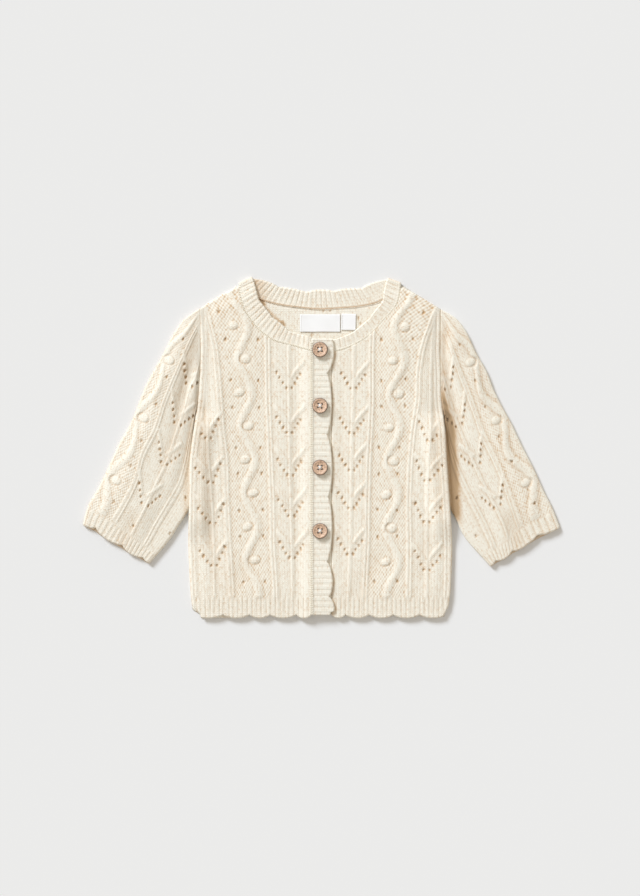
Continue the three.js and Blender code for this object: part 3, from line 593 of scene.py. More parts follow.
def front_inside(half, x, y):
    """Height of the inside of a front, which lies on the back and swells a little between its edges"""
    below = (shoulder_height(half, x) - y) / np.hypot(1, half["shoulder"][2])
    swell = PUFF * rise(0, 16, from_side(half, x, y)) * rise(0, 14, below)
    swell = swell * (0.25 + 0.75 * rise(*SWELL_FOOT, y))
    if half["overlap"]:
        swell = swell + LAYER * rise(*OVERLAP_RISE, x)
    return side_lift(half, x, y) + LAYER + swell


def double_rib(distance):
    pair = (bump(distance - RIB_SPACING, RIB_HALF), bump(distance + RIB_SPACING, RIB_HALF))
    return RIB_HEIGHT * np.maximum(*pair)


def cable_line(half, y):
    wave = WAVE_SWING * np.cos(2 * np.pi * (y - half["top"]) / WAVE_PERIOD)
    return line_at(half["cable"], y) - half["sign"] * wave


def bobble_shape(dx, dy, turn, wide, tall, peak):
    """A bobble's height, and the sharp hollow round it"""
    c, s = np.cos(turn), np.sin(turn)
    reach = np.hypot((dx * c + dy * s) / wide, (dy * c - dx * s) / tall)
    lower_right = np.clip((dx - dy) / 6, -1, 1)
    dome = peak * (1 - np.clip(reach, 0, 1) ** (2.6 + 1.0 * lower_right))
    return dome - 0.4 * bump(reach - 1.1, 0.24) * rise(-0.6, 0.4, lower_right)


def with_bobble(height, near, bobble):
    return np.where(near, np.maximum(bobble, np.minimum(height, 0) + bobble), height)


# Eyelet rows of a lace V: the first one's place beside the spine and above the V's point, and the step to
# the next one, across and up, on each of the V's arms
V_STEPS = 4
V_START = (2.6, 3.3)
INNER_V = ((2.9, 4.6), (2.5, 4.0))
OUTER_V = ((3.4, 4.3), (2.5, 5.6))
EYELET_SIZES = (0.85, 1.12)
LEAF_RISE = 10.5
LEAF_HEIGHT = 0.6
LACES = (("inner_spine", "inner_lace"), ("outer_spine", "outer_lace"))


def lace_eyelets(half, rng):
    """Eyelets of both lace panels and of the purl ground"""
    holes = []
    for spine, laces in LACES:
        for point in half[laces]:
            for side in (-1, 1):
                if spine == "inner_spine":
                    across, up = INNER_V[0 if side < 0 else 1]
                else:
                    across, up = OUTER_V[0 if side == half["sign"] else 1]
                for k in range(V_STEPS):
                    y = point + V_START[1] + up * k + rng.normal(0, 0.25)
                    x = line_at(half[spine], y) + side * (V_START[0] + across * k) + rng.normal(0, 0.2)
                    if from_side(half, x, y) > 3.5 and abs(x) > 12.5:
                        size = rng.uniform(*EYELET_SIZES)
                        holes.append((float(x), float(y), 1.12 * size, 1.8 * size, side * 0.35))
    for k, y in enumerate(pair_heights):
        wide, tall = (1.4, 1.8) if k < 2 else (1.1, 1.8)
        for title, away in (("inner_rib", 8.7), ("outer_rib", -10.8)):
            x = line_at(half[title], y) + half["sign"] * away + rng.normal(0, 0.3)
            holes.append((float(x), y + rng.normal(0, 0.6), wide, tall, rng.uniform(-0.35, 0.35)))
    return holes


def leaf_ribs(half, x, y):
    """The slanting ribs that rise from each spine above its eyelets"""
    height = np.zeros_like(x)
    for spine, laces in LACES:
        away = np.abs(x - line_at(half[spine], y))
        for point in half[laces]:
            middle = point + LEAF_RISE + 1.45 * away - 0.018 * away**2
            here = bump((y - middle) * 0.56, 2.6) * rise(1.0, 3.2, away) * (1 - rise(12.5, 15.5, away))
            height = np.maximum(height, LEAF_HEIGHT * here)
    return height


def front_relief(half, x, y, rng):
    """Height of the knitting over the cloth, and the share of purl ground"""
    wave = x - cable_line(half, y)
    off = {title: x - line_at(half[title], y)
           for title in ("side_rib", "outer_rib", "inner_rib", "outer_spine", "inner_spine")}
    ribs = [double_rib(off[title]) for title in ("side_rib", "outer_rib", "inner_rib")]
    spines = [SPINE_HEIGHT * bump(off[title], SPINE_HALF) for title in ("outer_spine", "inner_spine")]
    height = np.maximum.reduce(ribs + spines + [CABLE_HEIGHT * bump(wave, CABLE_HALF) ** 0.55])
    sign = half["sign"]
    past_rib = sign * x > sign * line_at(half["inner_rib"], y) + 2.5
    before_rib = sign * x < sign * line_at(half["outer_rib"], y) - 2.5
    ground = past_rib & before_rib & (np.abs(wave) > 3)
    height = np.maximum(height, np.where(ground, 0, leaf_ribs(half, x, y)))
    for i, offset in enumerate(half["bobbles"]):
        middle_y = half["top"] - i * WAVE_PERIOD / 2
        dx = x - (line_at(half["cable"], middle_y) + offset)
        dy = y - middle_y
        wide, tall, peak = rng.uniform(SMALLEST_BOBBLE, LARGEST_BOBBLE)
        bobble = bobble_shape(dx, dy, rng.uniform(-0.1, 0.6), wide, tall, peak)
        near = np.hypot(dx, dy) < 6.2
        height = with_bobble(height, near & (np.hypot(dx / 5.1, dy / 4.0) < BOBBLE_REACH), bobble)
        ground = ground & ~(near & (bobble > 0))
    hem = 1 - rise(HEM_LINE - 1.5, HEM_LINE + 1.5, y)
    rib = HEM_RIB_HEIGHT * np.abs(np.cos(np.pi * x / HEM_RIB))
    # At the shoulder the purl share is raised, so the painted shade between its stitches is darker there
    shoulder_gap_shade = 1 + 2.5 * rise(106, 126, y)
    return height * (1 - hem) + rib * hem, np.where(ground, 1.0, 0.0) * (1 - hem) * shoulder_gap_shade


band_notches = [(104, 8), (67.5, 6.3), (12, 6.3), (-44, 7.2), (-102.5, 6.3), (-134, 8), (-152, 9.5)]


def band_edge(y):
    """The buttonhole band's free edge, scalloped between its notches"""
    heights = np.array([p[0] for p in band_notches], float)
    i = np.clip(np.searchsorted(-heights, -y, side="right") - 1, 0, len(heights) - 2)
    t = np.clip((heights[i] - y) / (heights[i] - heights[i + 1]), 0, 1)
    x = np.interp(-y, -heights, [p[1] for p in band_notches])
    return x + np.where(i == 0, 5.6, 4.4) * np.sin(np.pi * t) ** 0.6


FRONT_STEP = 0.88


def front_panel(half, centre, name, node, seed):
    rng = np.random.default_rng(seed)
    sign = half["sign"]
    x, y, outside, outline = half_net(half, centre, half["neck_seam"], FRONT_STEP)
    relief, purl = front_relief(half, x, y, rng)
    # The left front is smooth under the bands, and has painted shade beside the upper one
    clear, dusk = 1, 0
    if not half["overlap"]:
        clear = rise(13, 16.5, x)
        dusk = 1.1 - 1.1 * rise(0.8, 3, x - band_edge(y))
    crease = crease_height(front_creases[sign], x, y) * rise(9, 24, np.abs(x)) * rise(-150, -125, y)
    inside = front_inside(half, x, y)
    inside = inside + np.maximum(crease, -(inside - LAYER - side_lift(half, x, y)) * 0.9)
    outer = np.stack([x, y, inside + WALL + relief * clear], -1)
    inner = np.stack([x, y, inside], -1)
    # Stitch columns follow the guide lines, and are counted where the panel is widest
    line = np.full_like(y, centre * sign)
    count = centre * sign / WALE
    wale = np.zeros_like(x)
    for title in ("inner_spine", "inner_rib", "cable", "outer_rib", "outer_spine", "side_rib", "edge"):
        following = np.maximum(line_at(half[title], y) * sign, line + 1)
        last = float(line_at(half[title], -60)) * sign / WALE
        wale += np.clip((x * sign - line) / (following - line), 0, 1) * (last - count)
        line = following
        count = last
    stitches = np.stack([wale, y / COURSE], -1)
    hem = (1 - rise(HEM_LINE - 1.5, HEM_LINE + 1.5, y)) * (0.4 + 0.6 * rise(-151, -143, y))
    ribbing = np.stack([x / HEM_RIB, hem * clear], -1)
    # Where the sleeve is sewn on, the edge is tight
    sewn = rise(36, 60, y) * (1 - rise(2.5, 6, from_side(half, x, y)))
    # Painted shade lies in the panel's troughs and, on the left front, beside the buttonhole band
    panel = knit_shell(name, outer, inner, stitches, ribbing, relief, purl, eyelets=lace_eyelets(half, rng),
                       lip=EDGE_ROUNDING - 0.8 * sewn, outside=outside, outline=outline,
                       shade=0.5 * np.clip(-crease / 1.2, 0, 1) + dusk)
    cloth_piece(panel, node)
    return panel


front_right = front_panel(right_half, -7.65, "right_front", "front_right", 11)
front_left = front_panel(left_half, 10.45, "left_front", "front_left", 12)

# Sleeves
# Two tubes knitted from armhole to ribbed cuff and pressed flat, with the wavy cable along the outer fold,
# then a double rib, a lace panel with its spine and a second double rib. Their inner fold is tucked under
# the body, which shades it.

SLEEVE_PUFF = 2.2
CUFF_START = 0.93
CUFF_SCALLOP = 0.019
SLEEVE_LENGTH = 250
SLEEVE_ROWS = 272
CUFF_RIBS = 17
CUFF_RIB_HEIGHT = 0.25
FOLD_ROUNDING = (2.6, 1.6)
FINE_STEP = 0.92
UNDERSIDE_COLUMNS = 16
right_sleeve = {
    "fold": [(-108, 126), (-122.5, 116), (-130.5, 105.5), (-141.5, 84.5), (-151, 67.5), (-158, 54),
             (-164, 38.5), (-171, 21.5), (-182, 2), (-191.5, -19), (-200.5, -37), (-209, -52),
             (-214, -69.5)],
    "outer_rib": [(-108, 113.5), (-114.5, 101), (-119, 91), (-128, 70), (-139.5, 42.5), (-147.5, 18),
                  (-159.5, -6.5), (-165.5, -29.5), (-176.5, -52), (-186.5, -68.5), (-194.5, -81)],
    "spine": [(-108, 81), (-111.5, 65), (-117, 54), (-122.5, 34), (-130.5, 10), (-137, -11), (-146, -29.5),
              (-155.5, -50.5), (-165.5, -70), (-176.5, -92.5)],
    "inner_rib": [(-110.3, 45), (-113.5, 25), (-117, 7), (-120.5, -13.5), (-126, -32.5), (-137, -52),
                  (-147.5, -69.5), (-155, -83.5), (-164.5, -99)],
    "tuck": [(-111.7, 33.5), (-113.2, 23.5), (-114.7, 12.5), (-113.5, 2.5), (-110.5, -11), (-110, -27),
             (-112.5, -42.5), (-118.5, -56.5), (-128.5, -72), (-136, -83.5), (-154, -104.5)],
    "first_notch": 0.155,
    "notch_step": 0.36,
    "laces": [53, 18, -17.5, -54.5],
    "pairs": [(98, 0.175), (64, 0.195), (39.5, 0.205), (6.5, 0.215), (-16, 0.205), (-48.5, 0.195)],
    "singles": [(-121.2, -44.7), (-135.3, -76.8), (-168.1, -70.1)],
    "dusk": (1.0, 2, 8),
    "rib_shade": 1.0,
    "fold_shade": 1,
}
left_sleeve = {
    "fold": [(109, 125), (122.5, 117), (131.5, 105.5), (140.5, 86.5), (150.5, 68.5), (156.5, 53),
             (164.5, 37), (172, 23.5), (182, 2.5), (192.5, -18), (201.5, -38), (209.5, -54), (216.5, -72)],
    "outer_rib": [(109, 112.5), (115, 99), (120.5, 83.5), (126, 68.5), (133, 50.5), (139.5, 32.5),
                  (146.5, 11.5), (156.5, -9), (165.5, -30.5), (172, -49.5), (179, -69.5), (187, -87.5)],
    "spine": [(109, 79), (111.5, 63), (115, 50.5), (125, 18), (133, -1), (140.5, -18), (149.5, -37),
              (159.5, -56), (167.5, -74), (172, -97)],
    "inner_rib": [(110, 43), (113.5, 25), (116, 7), (121.5, -12.5), (128, -29), (136, -45), (144, -60.5),
                  (150.5, -74), (162, -102.5)],
    "tuck": [(111.3, 33.5), (112.5, 23.5), (113.3, 12.5), (111.5, 2), (109.5, -12.5), (110, -29),
             (113, -43), (117.5, -55), (122.5, -64), (129.5, -79), (154, -107)],
    "first_notch": 0.19,
    "notch_step": 0.34,
    "laces": [50, 17, -18.5, -56],
    "pairs": [(93, 0.165), (60.5, 0.165), (37, 0.165), (10, 0.165), (-12.5, 0.16), (-37.5, 0.12),
              (-50, 0.115)],
    "singles": [(123.6, -45), (140.4, -79.2)],
    "dusk": (2.8, 6.5, 13),
    "rib_shade": 2.2,
    "fold_shade": 0,
}
# Soft troughs and swells of the laid sleeves, as on the fronts
sleeve_creases = {
    -1: [(-114, 96, -127, 36, 7, -0.9), (-126, 30, -142, -22, 7, -0.6), (-150, 30, -176, -40, 12, 0.6),
         (-122, 10, -140, -55, 8, 0.6), (-132, 75, -150, 40, 10, 0.5), (-166, -60, -180, -92, 8, -0.6),
         (-116, 60, -112, 25, 6, 0.7)],
    1: [(112, 108, 113, 60, 6, -1.2), (116, 52, 124, 8, 7, -0.8), (150, 30, 178, -36, 12, 0.6),
        (124, 0, 142, -55, 8, 0.6), (132, 75, 148, 42, 10, 0.5), (168, -60, 182, -92, 8, -0.6),
        (116, 96, 126, 60, 7, 0.6)],
}

# Shares across the sleeve, from the outer fold to the inner one, of its knitted lines
OUTER_LINE = 0.3
SPINE_LINE = 0.56
INNER_LINE = 0.8
CABLE_LINE = 0.1
BOBBLE_LINE = 0.12
bobble_shares = (0.232, 0.49, 0.77)
SLEEVE_BOBBLE = (4.8, 3.9, 0.65)
SLEEVE_WAVE = (0.055, 0.352, 0.275)


def sleeve_place(guides):
    """Places on a sleeve by u, across from the outer fold to the inner one, and v, from armhole to cuff"""
    curves = [curve_through(guides[title]) for title in ("fold", "outer_rib", "spine", "inner_rib", "tuck")]
    stations = [0, OUTER_LINE, SPINE_LINE, INNER_LINE, 1]

    def place(u, v):
        u, v = np.broadcast_arrays(np.asarray(u, float), np.asarray(v, float))
        lines = [along(curve, np.clip(v, 0, 1)) for curve in curves]
        spot = lines[0].copy()
        for a, b, first, last in zip(lines, lines[1:], stations, stations[1:]):
            t = np.clip((u - first) / (last - first), 0, 1)[..., None]
            spot += (b - a) * t
        toward_body = -np.sign(guides["fold"][0][0])
        spot[..., 0] += toward_body * np.maximum(-v, 0) * SLEEVE_LENGTH
        return spot

    return place


def sleeve_inside(u, v):
    """Height of the inside of a sleeve's upper half, with a valley below the armhole"""
    swell = SLEEVE_PUFF * rise(0, 0.2, u) * rise(0.17, 0.46, 1 - u)
    swell = swell * rise(0, 0.12, v) * (1 - 0.8 * rise(0.82, 1, v))
    valley = 1 - 0.85 * bump(u - 0.5, 0.14) * rise(0.02, 0.14, v) * (1 - rise(0.2, 0.45, v))
    return LAYER + swell * valley


def sleeve_wave(v):
    swing, crest, period = SLEEVE_WAVE
    return CABLE_LINE + swing * np.cos(2 * np.pi * (v - crest) / period)


def sleeve_share(place, u, height):
    """How far down the sleeve the line at u reaches a height"""
    v = np.linspace(0, 1, 400)
    return float(np.interp(-height, -place(u, v)[:, 1], v))


# Arms of a sleeve's lace V: the first eyelet from the V's point outwards and up, and the step to the next
OUTER_ARM = (3.2, 5.0)
OUTER_ARM_STEP = (0.6, 5.8)
INNER_ARM = (-2.8, 2.4)
INNER_ARM_STEP = (-3.6, 2.8)
LEAF_ABOVE = (0, 9.5)
LEAF_STEPS = 3.3


def sleeve_lace(half, guides, place, rng):
    """Eyelets of a sleeve, and both ends of the slanting rib above each arm of its lace"""
    sign = half["sign"]
    eyelets, leaves = [], []
    for at in guides["laces"]:
        point = place(SPINE_LINE, sleeve_share(place, SPINE_LINE, at))
        for start, step in ((OUTER_ARM, OUTER_ARM_STEP), (INNER_ARM, INNER_ARM_STEP)):
            start = point + np.array(start) * (sign, 1)
            step = np.array(step) * (sign, 1)
            leaves.append((start + LEAF_ABOVE, start + LEAF_ABOVE + LEAF_STEPS * step))
            for k in range(V_STEPS):
                x, y = start + step * k + rng.normal(0, 0.2, 2)
                size = rng.uniform(*EYELET_SIZES)
                eyelets.append((float(x), float(y), 1.1 * size, 1.7 * size, sign * 0.35))
    for at, across_at in guides["pairs"]:
        x, y = place(across_at, sleeve_share(place, across_at, at))
        eyelets.append((float(x), float(y), 1.0, 1.75, sign * 0.5))
    for x, y in guides["singles"]:
        eyelets.append((x, y, 0.95, 1.7, sign * 0.2))
    return eyelets, leaves


def body_shade(half, guides, x, y):
    """Painted shade on the sleeve that lies under the body's side, where the body shades it"""
    beside = -from_side(half, x, y)
    depth, near, far = guides["dusk"]
    reach = 0.25 + 0.75 * rise(60, 5, y)
    dusk = depth * (1 - rise(near * reach, far * reach, beside)) * rise(-74, -58, y)
    return dusk * (1 - rise(45, 62, y)) * (0.65 + 0.35 * rise(0, 4, beside))


def make_sleeve(half, guides, name, node, seed):
    rng = np.random.default_rng(seed)
    place = sleeve_place(guides)
    width_at = lambda v: np.linalg.norm(place(np.ones_like(v), v) - place(np.zeros_like(v), v), axis=-1)
    mean_width = float(width_at(np.linspace(0.1, 0.9, 9)).mean())
    # Columns run over the upper half and back over the lower one, and are close together at both folds
    near_fold = np.r_[0, 0.15, 0.5, 1.0, 1.7]
    far_fold = mean_width - near_fold[:0:-1]
    fine = np.r_[near_fold, np.arange(2.6, mean_width - 2.6, FINE_STEP), far_fold]
    coarse = np.r_[near_fold, np.linspace(2.8, mean_width - 2.8, UNDERSIDE_COLUMNS), far_fold]
    u = np.r_[fine, mean_width - coarse][None, :] / mean_width
    upper = (np.arange(u.shape[1]) < len(fine))[None, :]
    notches = guides["first_notch"] + guides["notch_step"] * np.arange(-1, 4)
    reach = scallop(notches, u, CUFF_SCALLOP)
    end = 1 - CUFF_SCALLOP + np.where(upper, reach, 0.3 * reach + 0.7 * CUFF_SCALLOP)
    fall = np.linspace(0, 1, SLEEVE_ROWS)[:, None]
    v = end * fall - 0.5 / SLEEVE_LENGTH * (1 - fall)
    u = np.broadcast_to(u, v.shape)
    upper = np.broadcast_to(upper, v.shape)
    width = width_at(v[:, 0])[:, None]
    spot = place(u, v)
    across = lambda line: (u - line) * width
    # The knitting: cable, ribs and spine, then the lace's leaves, the bobbles and the cuff
    wave = across(sleeve_wave(v))
    height = np.maximum.reduce([double_rib(across(OUTER_LINE)), double_rib(across(INNER_LINE)),
                                SPINE_HEIGHT * bump(across(SPINE_LINE), SPINE_HALF),
                                CABLE_HEIGHT * bump(wave, CABLE_HALF * 0.9) ** 0.55])
    eyelets, leaves = sleeve_lace(half, guides, place, rng)
    for start, stop in leaves:
        height = np.maximum(height, LEAF_HEIGHT * ridge(spot, start, stop, 2.8))
    ground = (u > 0.02) & (across(OUTER_LINE) < -2.6) & (np.abs(wave) > 3)
    for at in bobble_shares:
        dx, dy = np.moveaxis(spot - place(BOBBLE_LINE, at), -1, 0)
        near = (np.hypot(dx / SLEEVE_BOBBLE[0], dy / SLEEVE_BOBBLE[1]) < BOBBLE_REACH) & upper
        height = with_bobble(height, near, bobble_shape(dx, dy, half["sign"] * 0.6, *SLEEVE_BOBBLE))
        ground = ground & ~near
    height = height * rise(0, 0.05, v) * (1 - rise(0.9, 0.97, u))
    height = height * (1 - rise(CUFF_START - 0.03, CUFF_START, v))
    cuff = rise(CUFF_START - 0.006, CUFF_START + 0.004, v)
    height = height + CUFF_RIB_HEIGHT * np.abs(np.cos(np.pi * u * CUFF_RIBS)) * cuff
    # The cloth: its swell and creases, rounded at both folds
    creases = crease_height(sleeve_creases[half["sign"]], spot[..., 0], spot[..., 1])
    inside = sleeve_inside(u, v)
    free = rise(0.04, 0.16, u) * rise(0.06, 0.3, 1 - u) * rise(0, 0.05, v) * (1 - rise(0.88, 1, v))
    inside = inside + np.maximum(creases * free, -(inside - LAYER) * 0.9)
    middle = WALL + GAP / 2
    from_fold = np.minimum(u, 1 - u) * width
    skin = np.where(upper, inside + WALL + height, 0)
    outer = np.dstack([spot, middle + (skin - middle) * rounded(from_fold, FOLD_ROUNDING[0])])
    inset = WALL / width
    lining = np.where(upper, inside, WALL)
    inner = np.dstack([place(inset + (1 - 2 * inset) * u, v),
                       middle + (lining - middle) * rounded(from_fold, FOLD_ROUNDING[1])])
    # The maps of the knitting go once round, and their last column closes on the first
    turn = np.where(upper, u, 2 - u)
    turn = np.hstack([turn, np.full_like(turn[:, :1], 2)])
    down, closed_cuff = (np.hstack([values, values[:, :1]]) for values in (v * SLEEVE_LENGTH, cuff))
    stitches = np.stack([turn * mean_width / WALE, down / COURSE], -1)
    groove = closed_cuff * (1 - 0.5 * rise(0.96, 0.99, down / SLEEVE_LENGTH))
    ribbing = np.stack([turn * CUFF_RIBS, groove], -1)
    # The fold that faces the light gets painted shade to tone it down, and the seam at the armhole is tight
    fold = guides["fold_shade"] * (1 - rise(0.8, 4, u * width))
    dusk = body_shade(half, guides, spot[..., 0], spot[..., 1])
    # Painted shade on the upper side in the troughs, beside the body and on the lit fold; on the lower side
    # on the lit fold and where the end of its cuff shows in the upper cuff's notches
    shade = np.where(upper, 0.8 * np.clip(-creases, 0, 1) + dusk + 0.5 * fold,
                     1.6 * rise(0.965, 0.985, v) + fold)
    # Only the painted shade reads this relief, which is scaled for each sleeve
    relief = np.where(upper, height * guides["rib_shade"], 0)
    purl = np.where(ground & upper, 1 - cuff, 0)
    sleeve = knit_shell(name, outer, inner, stitches, ribbing, relief, purl, wrap=True, eyelets=eyelets,
                        eyelets_from=2.2, lip=0.3 + 0.8 * rise(0.015, 0.05, v), shade=shade)
    cloth_piece(sleeve, node)


make_sleeve(right_half, right_sleeve, "right_sleeve", "sleeve_right", 21)
make_sleeve(left_half, left_sleeve, "left_sleeve", "sleeve_left", 22)

# Neckband
# One ribbed strip with a scalloped edge, linked to the neck from front edge to front edge and folded over
# at both shoulders, so that its rear part shows its inside.

BAND_RIB = 5.2
NECK_RIB = 4.8
BAND_STEP = 0.62
NECK_SCALLOP = 0.07
REAR_SCALLOP = 0.12
LINKING_OVERLAP = 0.75


def neckband_net():
    """The band's seam and edge from front edge to front edge, how far it is turned over, and its run"""
    fronts = []
    for half in (right_half, left_half):
        seam = curve_through(half["neck_seam"])
        t = np.linspace(0.004, 1, round(seam[2] / BAND_STEP))
        a = along(seam, t)
        width = along(curve_through(half["neck_edge"]), t) - a
        share = 1 - NECK_SCALLOP + scallop(np.linspace(0, 1, 5), t, NECK_SCALLOP)
        fronts.append((a, a + width * share[:, None], t * seam[2]))
    rear_seam = curve_through(back_neck_seam)
    t = np.linspace(0, 1, round(rear_seam[2] / BAND_STEP))
    a = along(rear_seam, t)
    share = 1 - REAR_SCALLOP + scallop(np.linspace(0, 1, 6), t, REAR_SCALLOP)
    b = a + (along(curve_through(back_neck_edge), t) - a) * share[:, None]
    first, last = fronts
    for end, front_edge in ((0, first[1][-1]), (-1, last[1][-1])):
        fade = 1 - rise(0, 12, np.abs(np.arange(len(t)) - (end % len(t))))
        b = b + (front_edge - b[end]) * fade[:, None]
    folds = np.linspace(0, np.pi, 10)[1:-1]
    seam, edge = (np.vstack([first[k], np.repeat(first[k][-1:], len(folds), 0), rear,
                             np.repeat(last[k][-1:], len(folds), 0), last[k][::-1]])
                  for k, rear in ((0, a), (1, b)))
    turn = np.r_[np.zeros(len(first[0])), folds, np.full(len(a), np.pi), folds[::-1],
                 np.zeros(len(last[0]))]
    reach = np.r_[first[2], first[2][-1] + np.linspace(0.3, 3, len(folds))]
    reach = np.r_[reach, reach[-1] + 0.3 + t * rear_seam[2]]
    reach = np.r_[reach, reach[-1] + np.linspace(0.3, 3, len(folds))]
    reach = np.r_[reach, reach[-1] + 0.3 + last[2][-1] - last[2][::-1]]
    return seam, edge, turn, reach


seam, edge, turn, reach = neckband_net()
# The seam edge reaches a little over the panel, as linking does
width = edge - seam
seam = seam - width / np.linalg.norm(width, axis=1, keepdims=True) * LINKING_OVERLAP
share = np.linspace(0, 1, 17)[None, :, None]
spot = seam[:, None, :] + (edge - seam)[:, None, :] * share
share = share[..., 0]
side = np.where(seam[:, 0] < 0, -1, 1)[:, None]
turn = turn[:, None]
reach = reach[:, None]
normal = np.stack([0.4 * side * np.sin(turn), 0.92 * np.sin(turn), np.cos(turn)], -1)
x, y = spot[..., 0], spot[..., 1]
swell = np.where(x < 0, front_inside(right_half, x, y), front_inside(left_half, x, y)) - LAYER
swell = swell * np.clip(np.cos(turn), 0, 1)
middle = np.dstack([x, y, WALL + GAP / 2 + swell]) + normal * (WALL + GAP) / 2
clear = np.where((x > 0) & (turn == 0), rise(13, 17, x), 1)
rib = 0.2 * np.abs(np.cos(np.pi * reach / NECK_RIB)) * np.ones_like(x) * clear
rear_rib = np.where(turn > 3.1, rib * (1 - 0.6 * rise(50, 66, np.abs(x))), 0)
outer = middle + normal * (WALL / 2 + np.where(turn == 0, rib, 0.2) - 0.1)[..., None]
inner = middle - normal * (WALL / 2 + rear_rib - 0.1)[..., None]
stitches = np.stack([reach / 2.6 + 0 * x, share * 12.5 / COURSE + 0 * x], -1)
ribbing = np.stack([reach / NECK_RIB + 0 * x, clear * rise(0.05, 0.5, share)], -1)
# Painted shade on the rear part by the shoulder fold at negative X, and half as much over both turns
folded_shade = (turn > 3.1) * (1 - rise(-56, -42, x)) + 0.5 * ((turn > 0) & (turn < 3.1))
neckband = knit_shell("neck_ribbing", outer, inner, stitches, ribbing, rib, lip=0.9, shade=folded_shade)
cloth_piece(neckband, "neckband")

# Front bands
# Ribbed crosswise and linked to the fronts' edges. The buttonhole band with its scalloped edge lies on top,
# and the plain button band shows only at its notches.

BAND_TOP = 98.5
BAND_SEAM = -7.5
BUTTON_BAND_SEAM = 10.3
BAND_WALE = 2.1
BAND_FOOT = -150.5
BAND_LENGTH = 249
BAND_RIB_HEIGHT = 0.12
SEAM_RIDGE = 0.55


def front_band(name, node, x, y, inside, rib, groove, lip, shade=0):
    outer = np.dstack([x, y, inside + WALL + rib])
    inner = np.dstack([x, y, inside])
    stitches = np.dstack([x / BAND_WALE, y / COURSE])
    ribbing = np.dstack([(y - BAND_TOP) / BAND_RIB, groove])
    band = knit_shell(name, outer, inner, stitches, ribbing, rib, lip=lip, shade=shade)
    cloth_piece(band, node)


y = np.linspace(BAND_TOP, BAND_FOOT, round(BAND_LENGTH / BAND_STEP))[:, None]
left = BAND_SEAM - LINKING_OVERLAP
right = np.minimum(band_edge(y), 9.5 + 100 * rise(-148, -140, y))
x = left + np.linspace(0, 1, 31)[None, :] * (right - left)
y = y + 0 * x
past_seam = rise(-7.5, -4.5, x)
rib = BAND_RIB_HEIGHT * np.abs(np.cos(np.pi * (y - BAND_TOP) / BAND_RIB)) * past_seam
rib = rib + SEAM_RIDGE * bump(x - BAND_SEAM - 1, 1.4)
inside = front_inside(right_half, np.full_like(x, -8.9), y) + GAP / 4
# The buttonhole band gets a little less painted shade than its ribs give, so its colour is lighter
front_band("buttonhole_ribbing", "buttonhole_band", x, y, inside, rib, 0.85 * past_seam,
           1.0, -0.3)

y = np.linspace(97, -149.5, 165)[:, None]
x = np.linspace(-6.5, BUTTON_BAND_SEAM + 0.6, 13)[None, :] + 0 * y
y = y + 0 * x
front_band("button_ribbing", "button_band", x, y, front_inside(left_half, 0 * x, y), 0 * x, 0.8 + 0 * x,
           0.9)

# Buttons
# Four coconut-shell buttons with a raised rim and four holes, sewn on with crossed white thread.

BUTTON_RADIUS = 7
button_heights = [88.5, 38, -17.5, -74.5]


def turned(name, profile, segments):
    """A closed turned shape from (radius, height) pairs that start and end on the axis"""
    angle = np.linspace(0, 2 * np.pi, segments, endpoint=False)
    body = profile[1:-1]
    points = [(0, 0, profile[0][1])]
    points += [(r * np.cos(a), r * np.sin(a), z) for r, z in body for a in angle]
    points.append((0, 0, profile[-1][1]))
    faces = [(0, 1 + (k + 1) % segments, 1 + k) for k in range(segments)]
    for i in range(len(body) - 1):
        for k in range(segments):
            a, b = 1 + i * segments + k, 1 + i * segments + (k + 1) % segments
            faces.append((a, b, b + segments, a + segments))
    last = len(points) - 1
    faces += [(last, last - segments + k, last - segments + (k + 1) % segments) for k in range(segments)]
    mesh = bpy.data.meshes.new(name)
    mesh.from_pydata(points, [], faces)
    return put_in_scene(name, mesh)


SHELL_DARK = (0.44, 0.285, 0.185, 1)
SHELL_LIGHT = (0.92, 0.65, 0.475, 1)
# Dark for the shell's edge, and painted shade on the rim and in the holes
SHELL_EDGE_AND_SHADE = (0.075, 0.045, 0.035, 1)


def coconut_shell():
    material, tree, shader = new_material("coconut shell")
    place = add(tree, "ShaderNodeTexCoord").outputs["Object"]
    grain = add(tree, "ShaderNodeTexNoise", {"Scale": 900, "Detail": 3, "Vector": place}).outputs["Fac"]
    spread = sums(tree, "MULTIPLY_ADD", sums(tree, "SUBTRACT", grain, 0.5), 3.5, 0.5)
    face = blend(tree, sums(tree, "MINIMUM", sums(tree, "MAXIMUM", spread, 0), 1), SHELL_DARK, SHELL_LIGHT)
    rim = add(tree, "ShaderNodeAttribute", attribute_name="rim").outputs["Fac"]
    fill(tree, shader, {"Roughness": 0.55, "Base Color": blend(tree, rim, face, SHELL_EDGE_AND_SHADE)})
    return material


def tube(points, radius, sides):
    """Rings of points round a line, and the faces of the closed tube over them"""
    points = np.array(points, float)
    along_it = np.gradient(points, axis=0)
    along_it /= np.linalg.norm(along_it, axis=1, keepdims=True)
    across = np.cross(along_it, (0.123, 0.2, 0.97))
    across /= np.linalg.norm(across, axis=1, keepdims=True)
    third = np.cross(along_it, across)
    angle = np.linspace(0, 2 * np.pi, sides, endpoint=False)[None, :, None]
    rings = points[:, None] + radius * (np.cos(angle) * across[:, None] + np.sin(angle) * third[:, None])
    faces = []
    for i in range(len(points) - 1):
        for k in range(sides):
            a, b = i * sides + k, i * sides + (k + 1) % sides
            faces.append((a, b, b + sides, a + sides))
    faces.append(tuple(range(sides))[::-1])
    faces.append(tuple(range((len(points) - 1) * sides, len(points) * sides)))
    return rings.reshape(-1, 3), faces


def plain_finish(title, colour, roughness):
    material, tree, shader = new_material(title)
    fill(tree, shader, {"Base Color": colour, "Roughness": roughness, "Sheen Weight": 0.3})
    return material


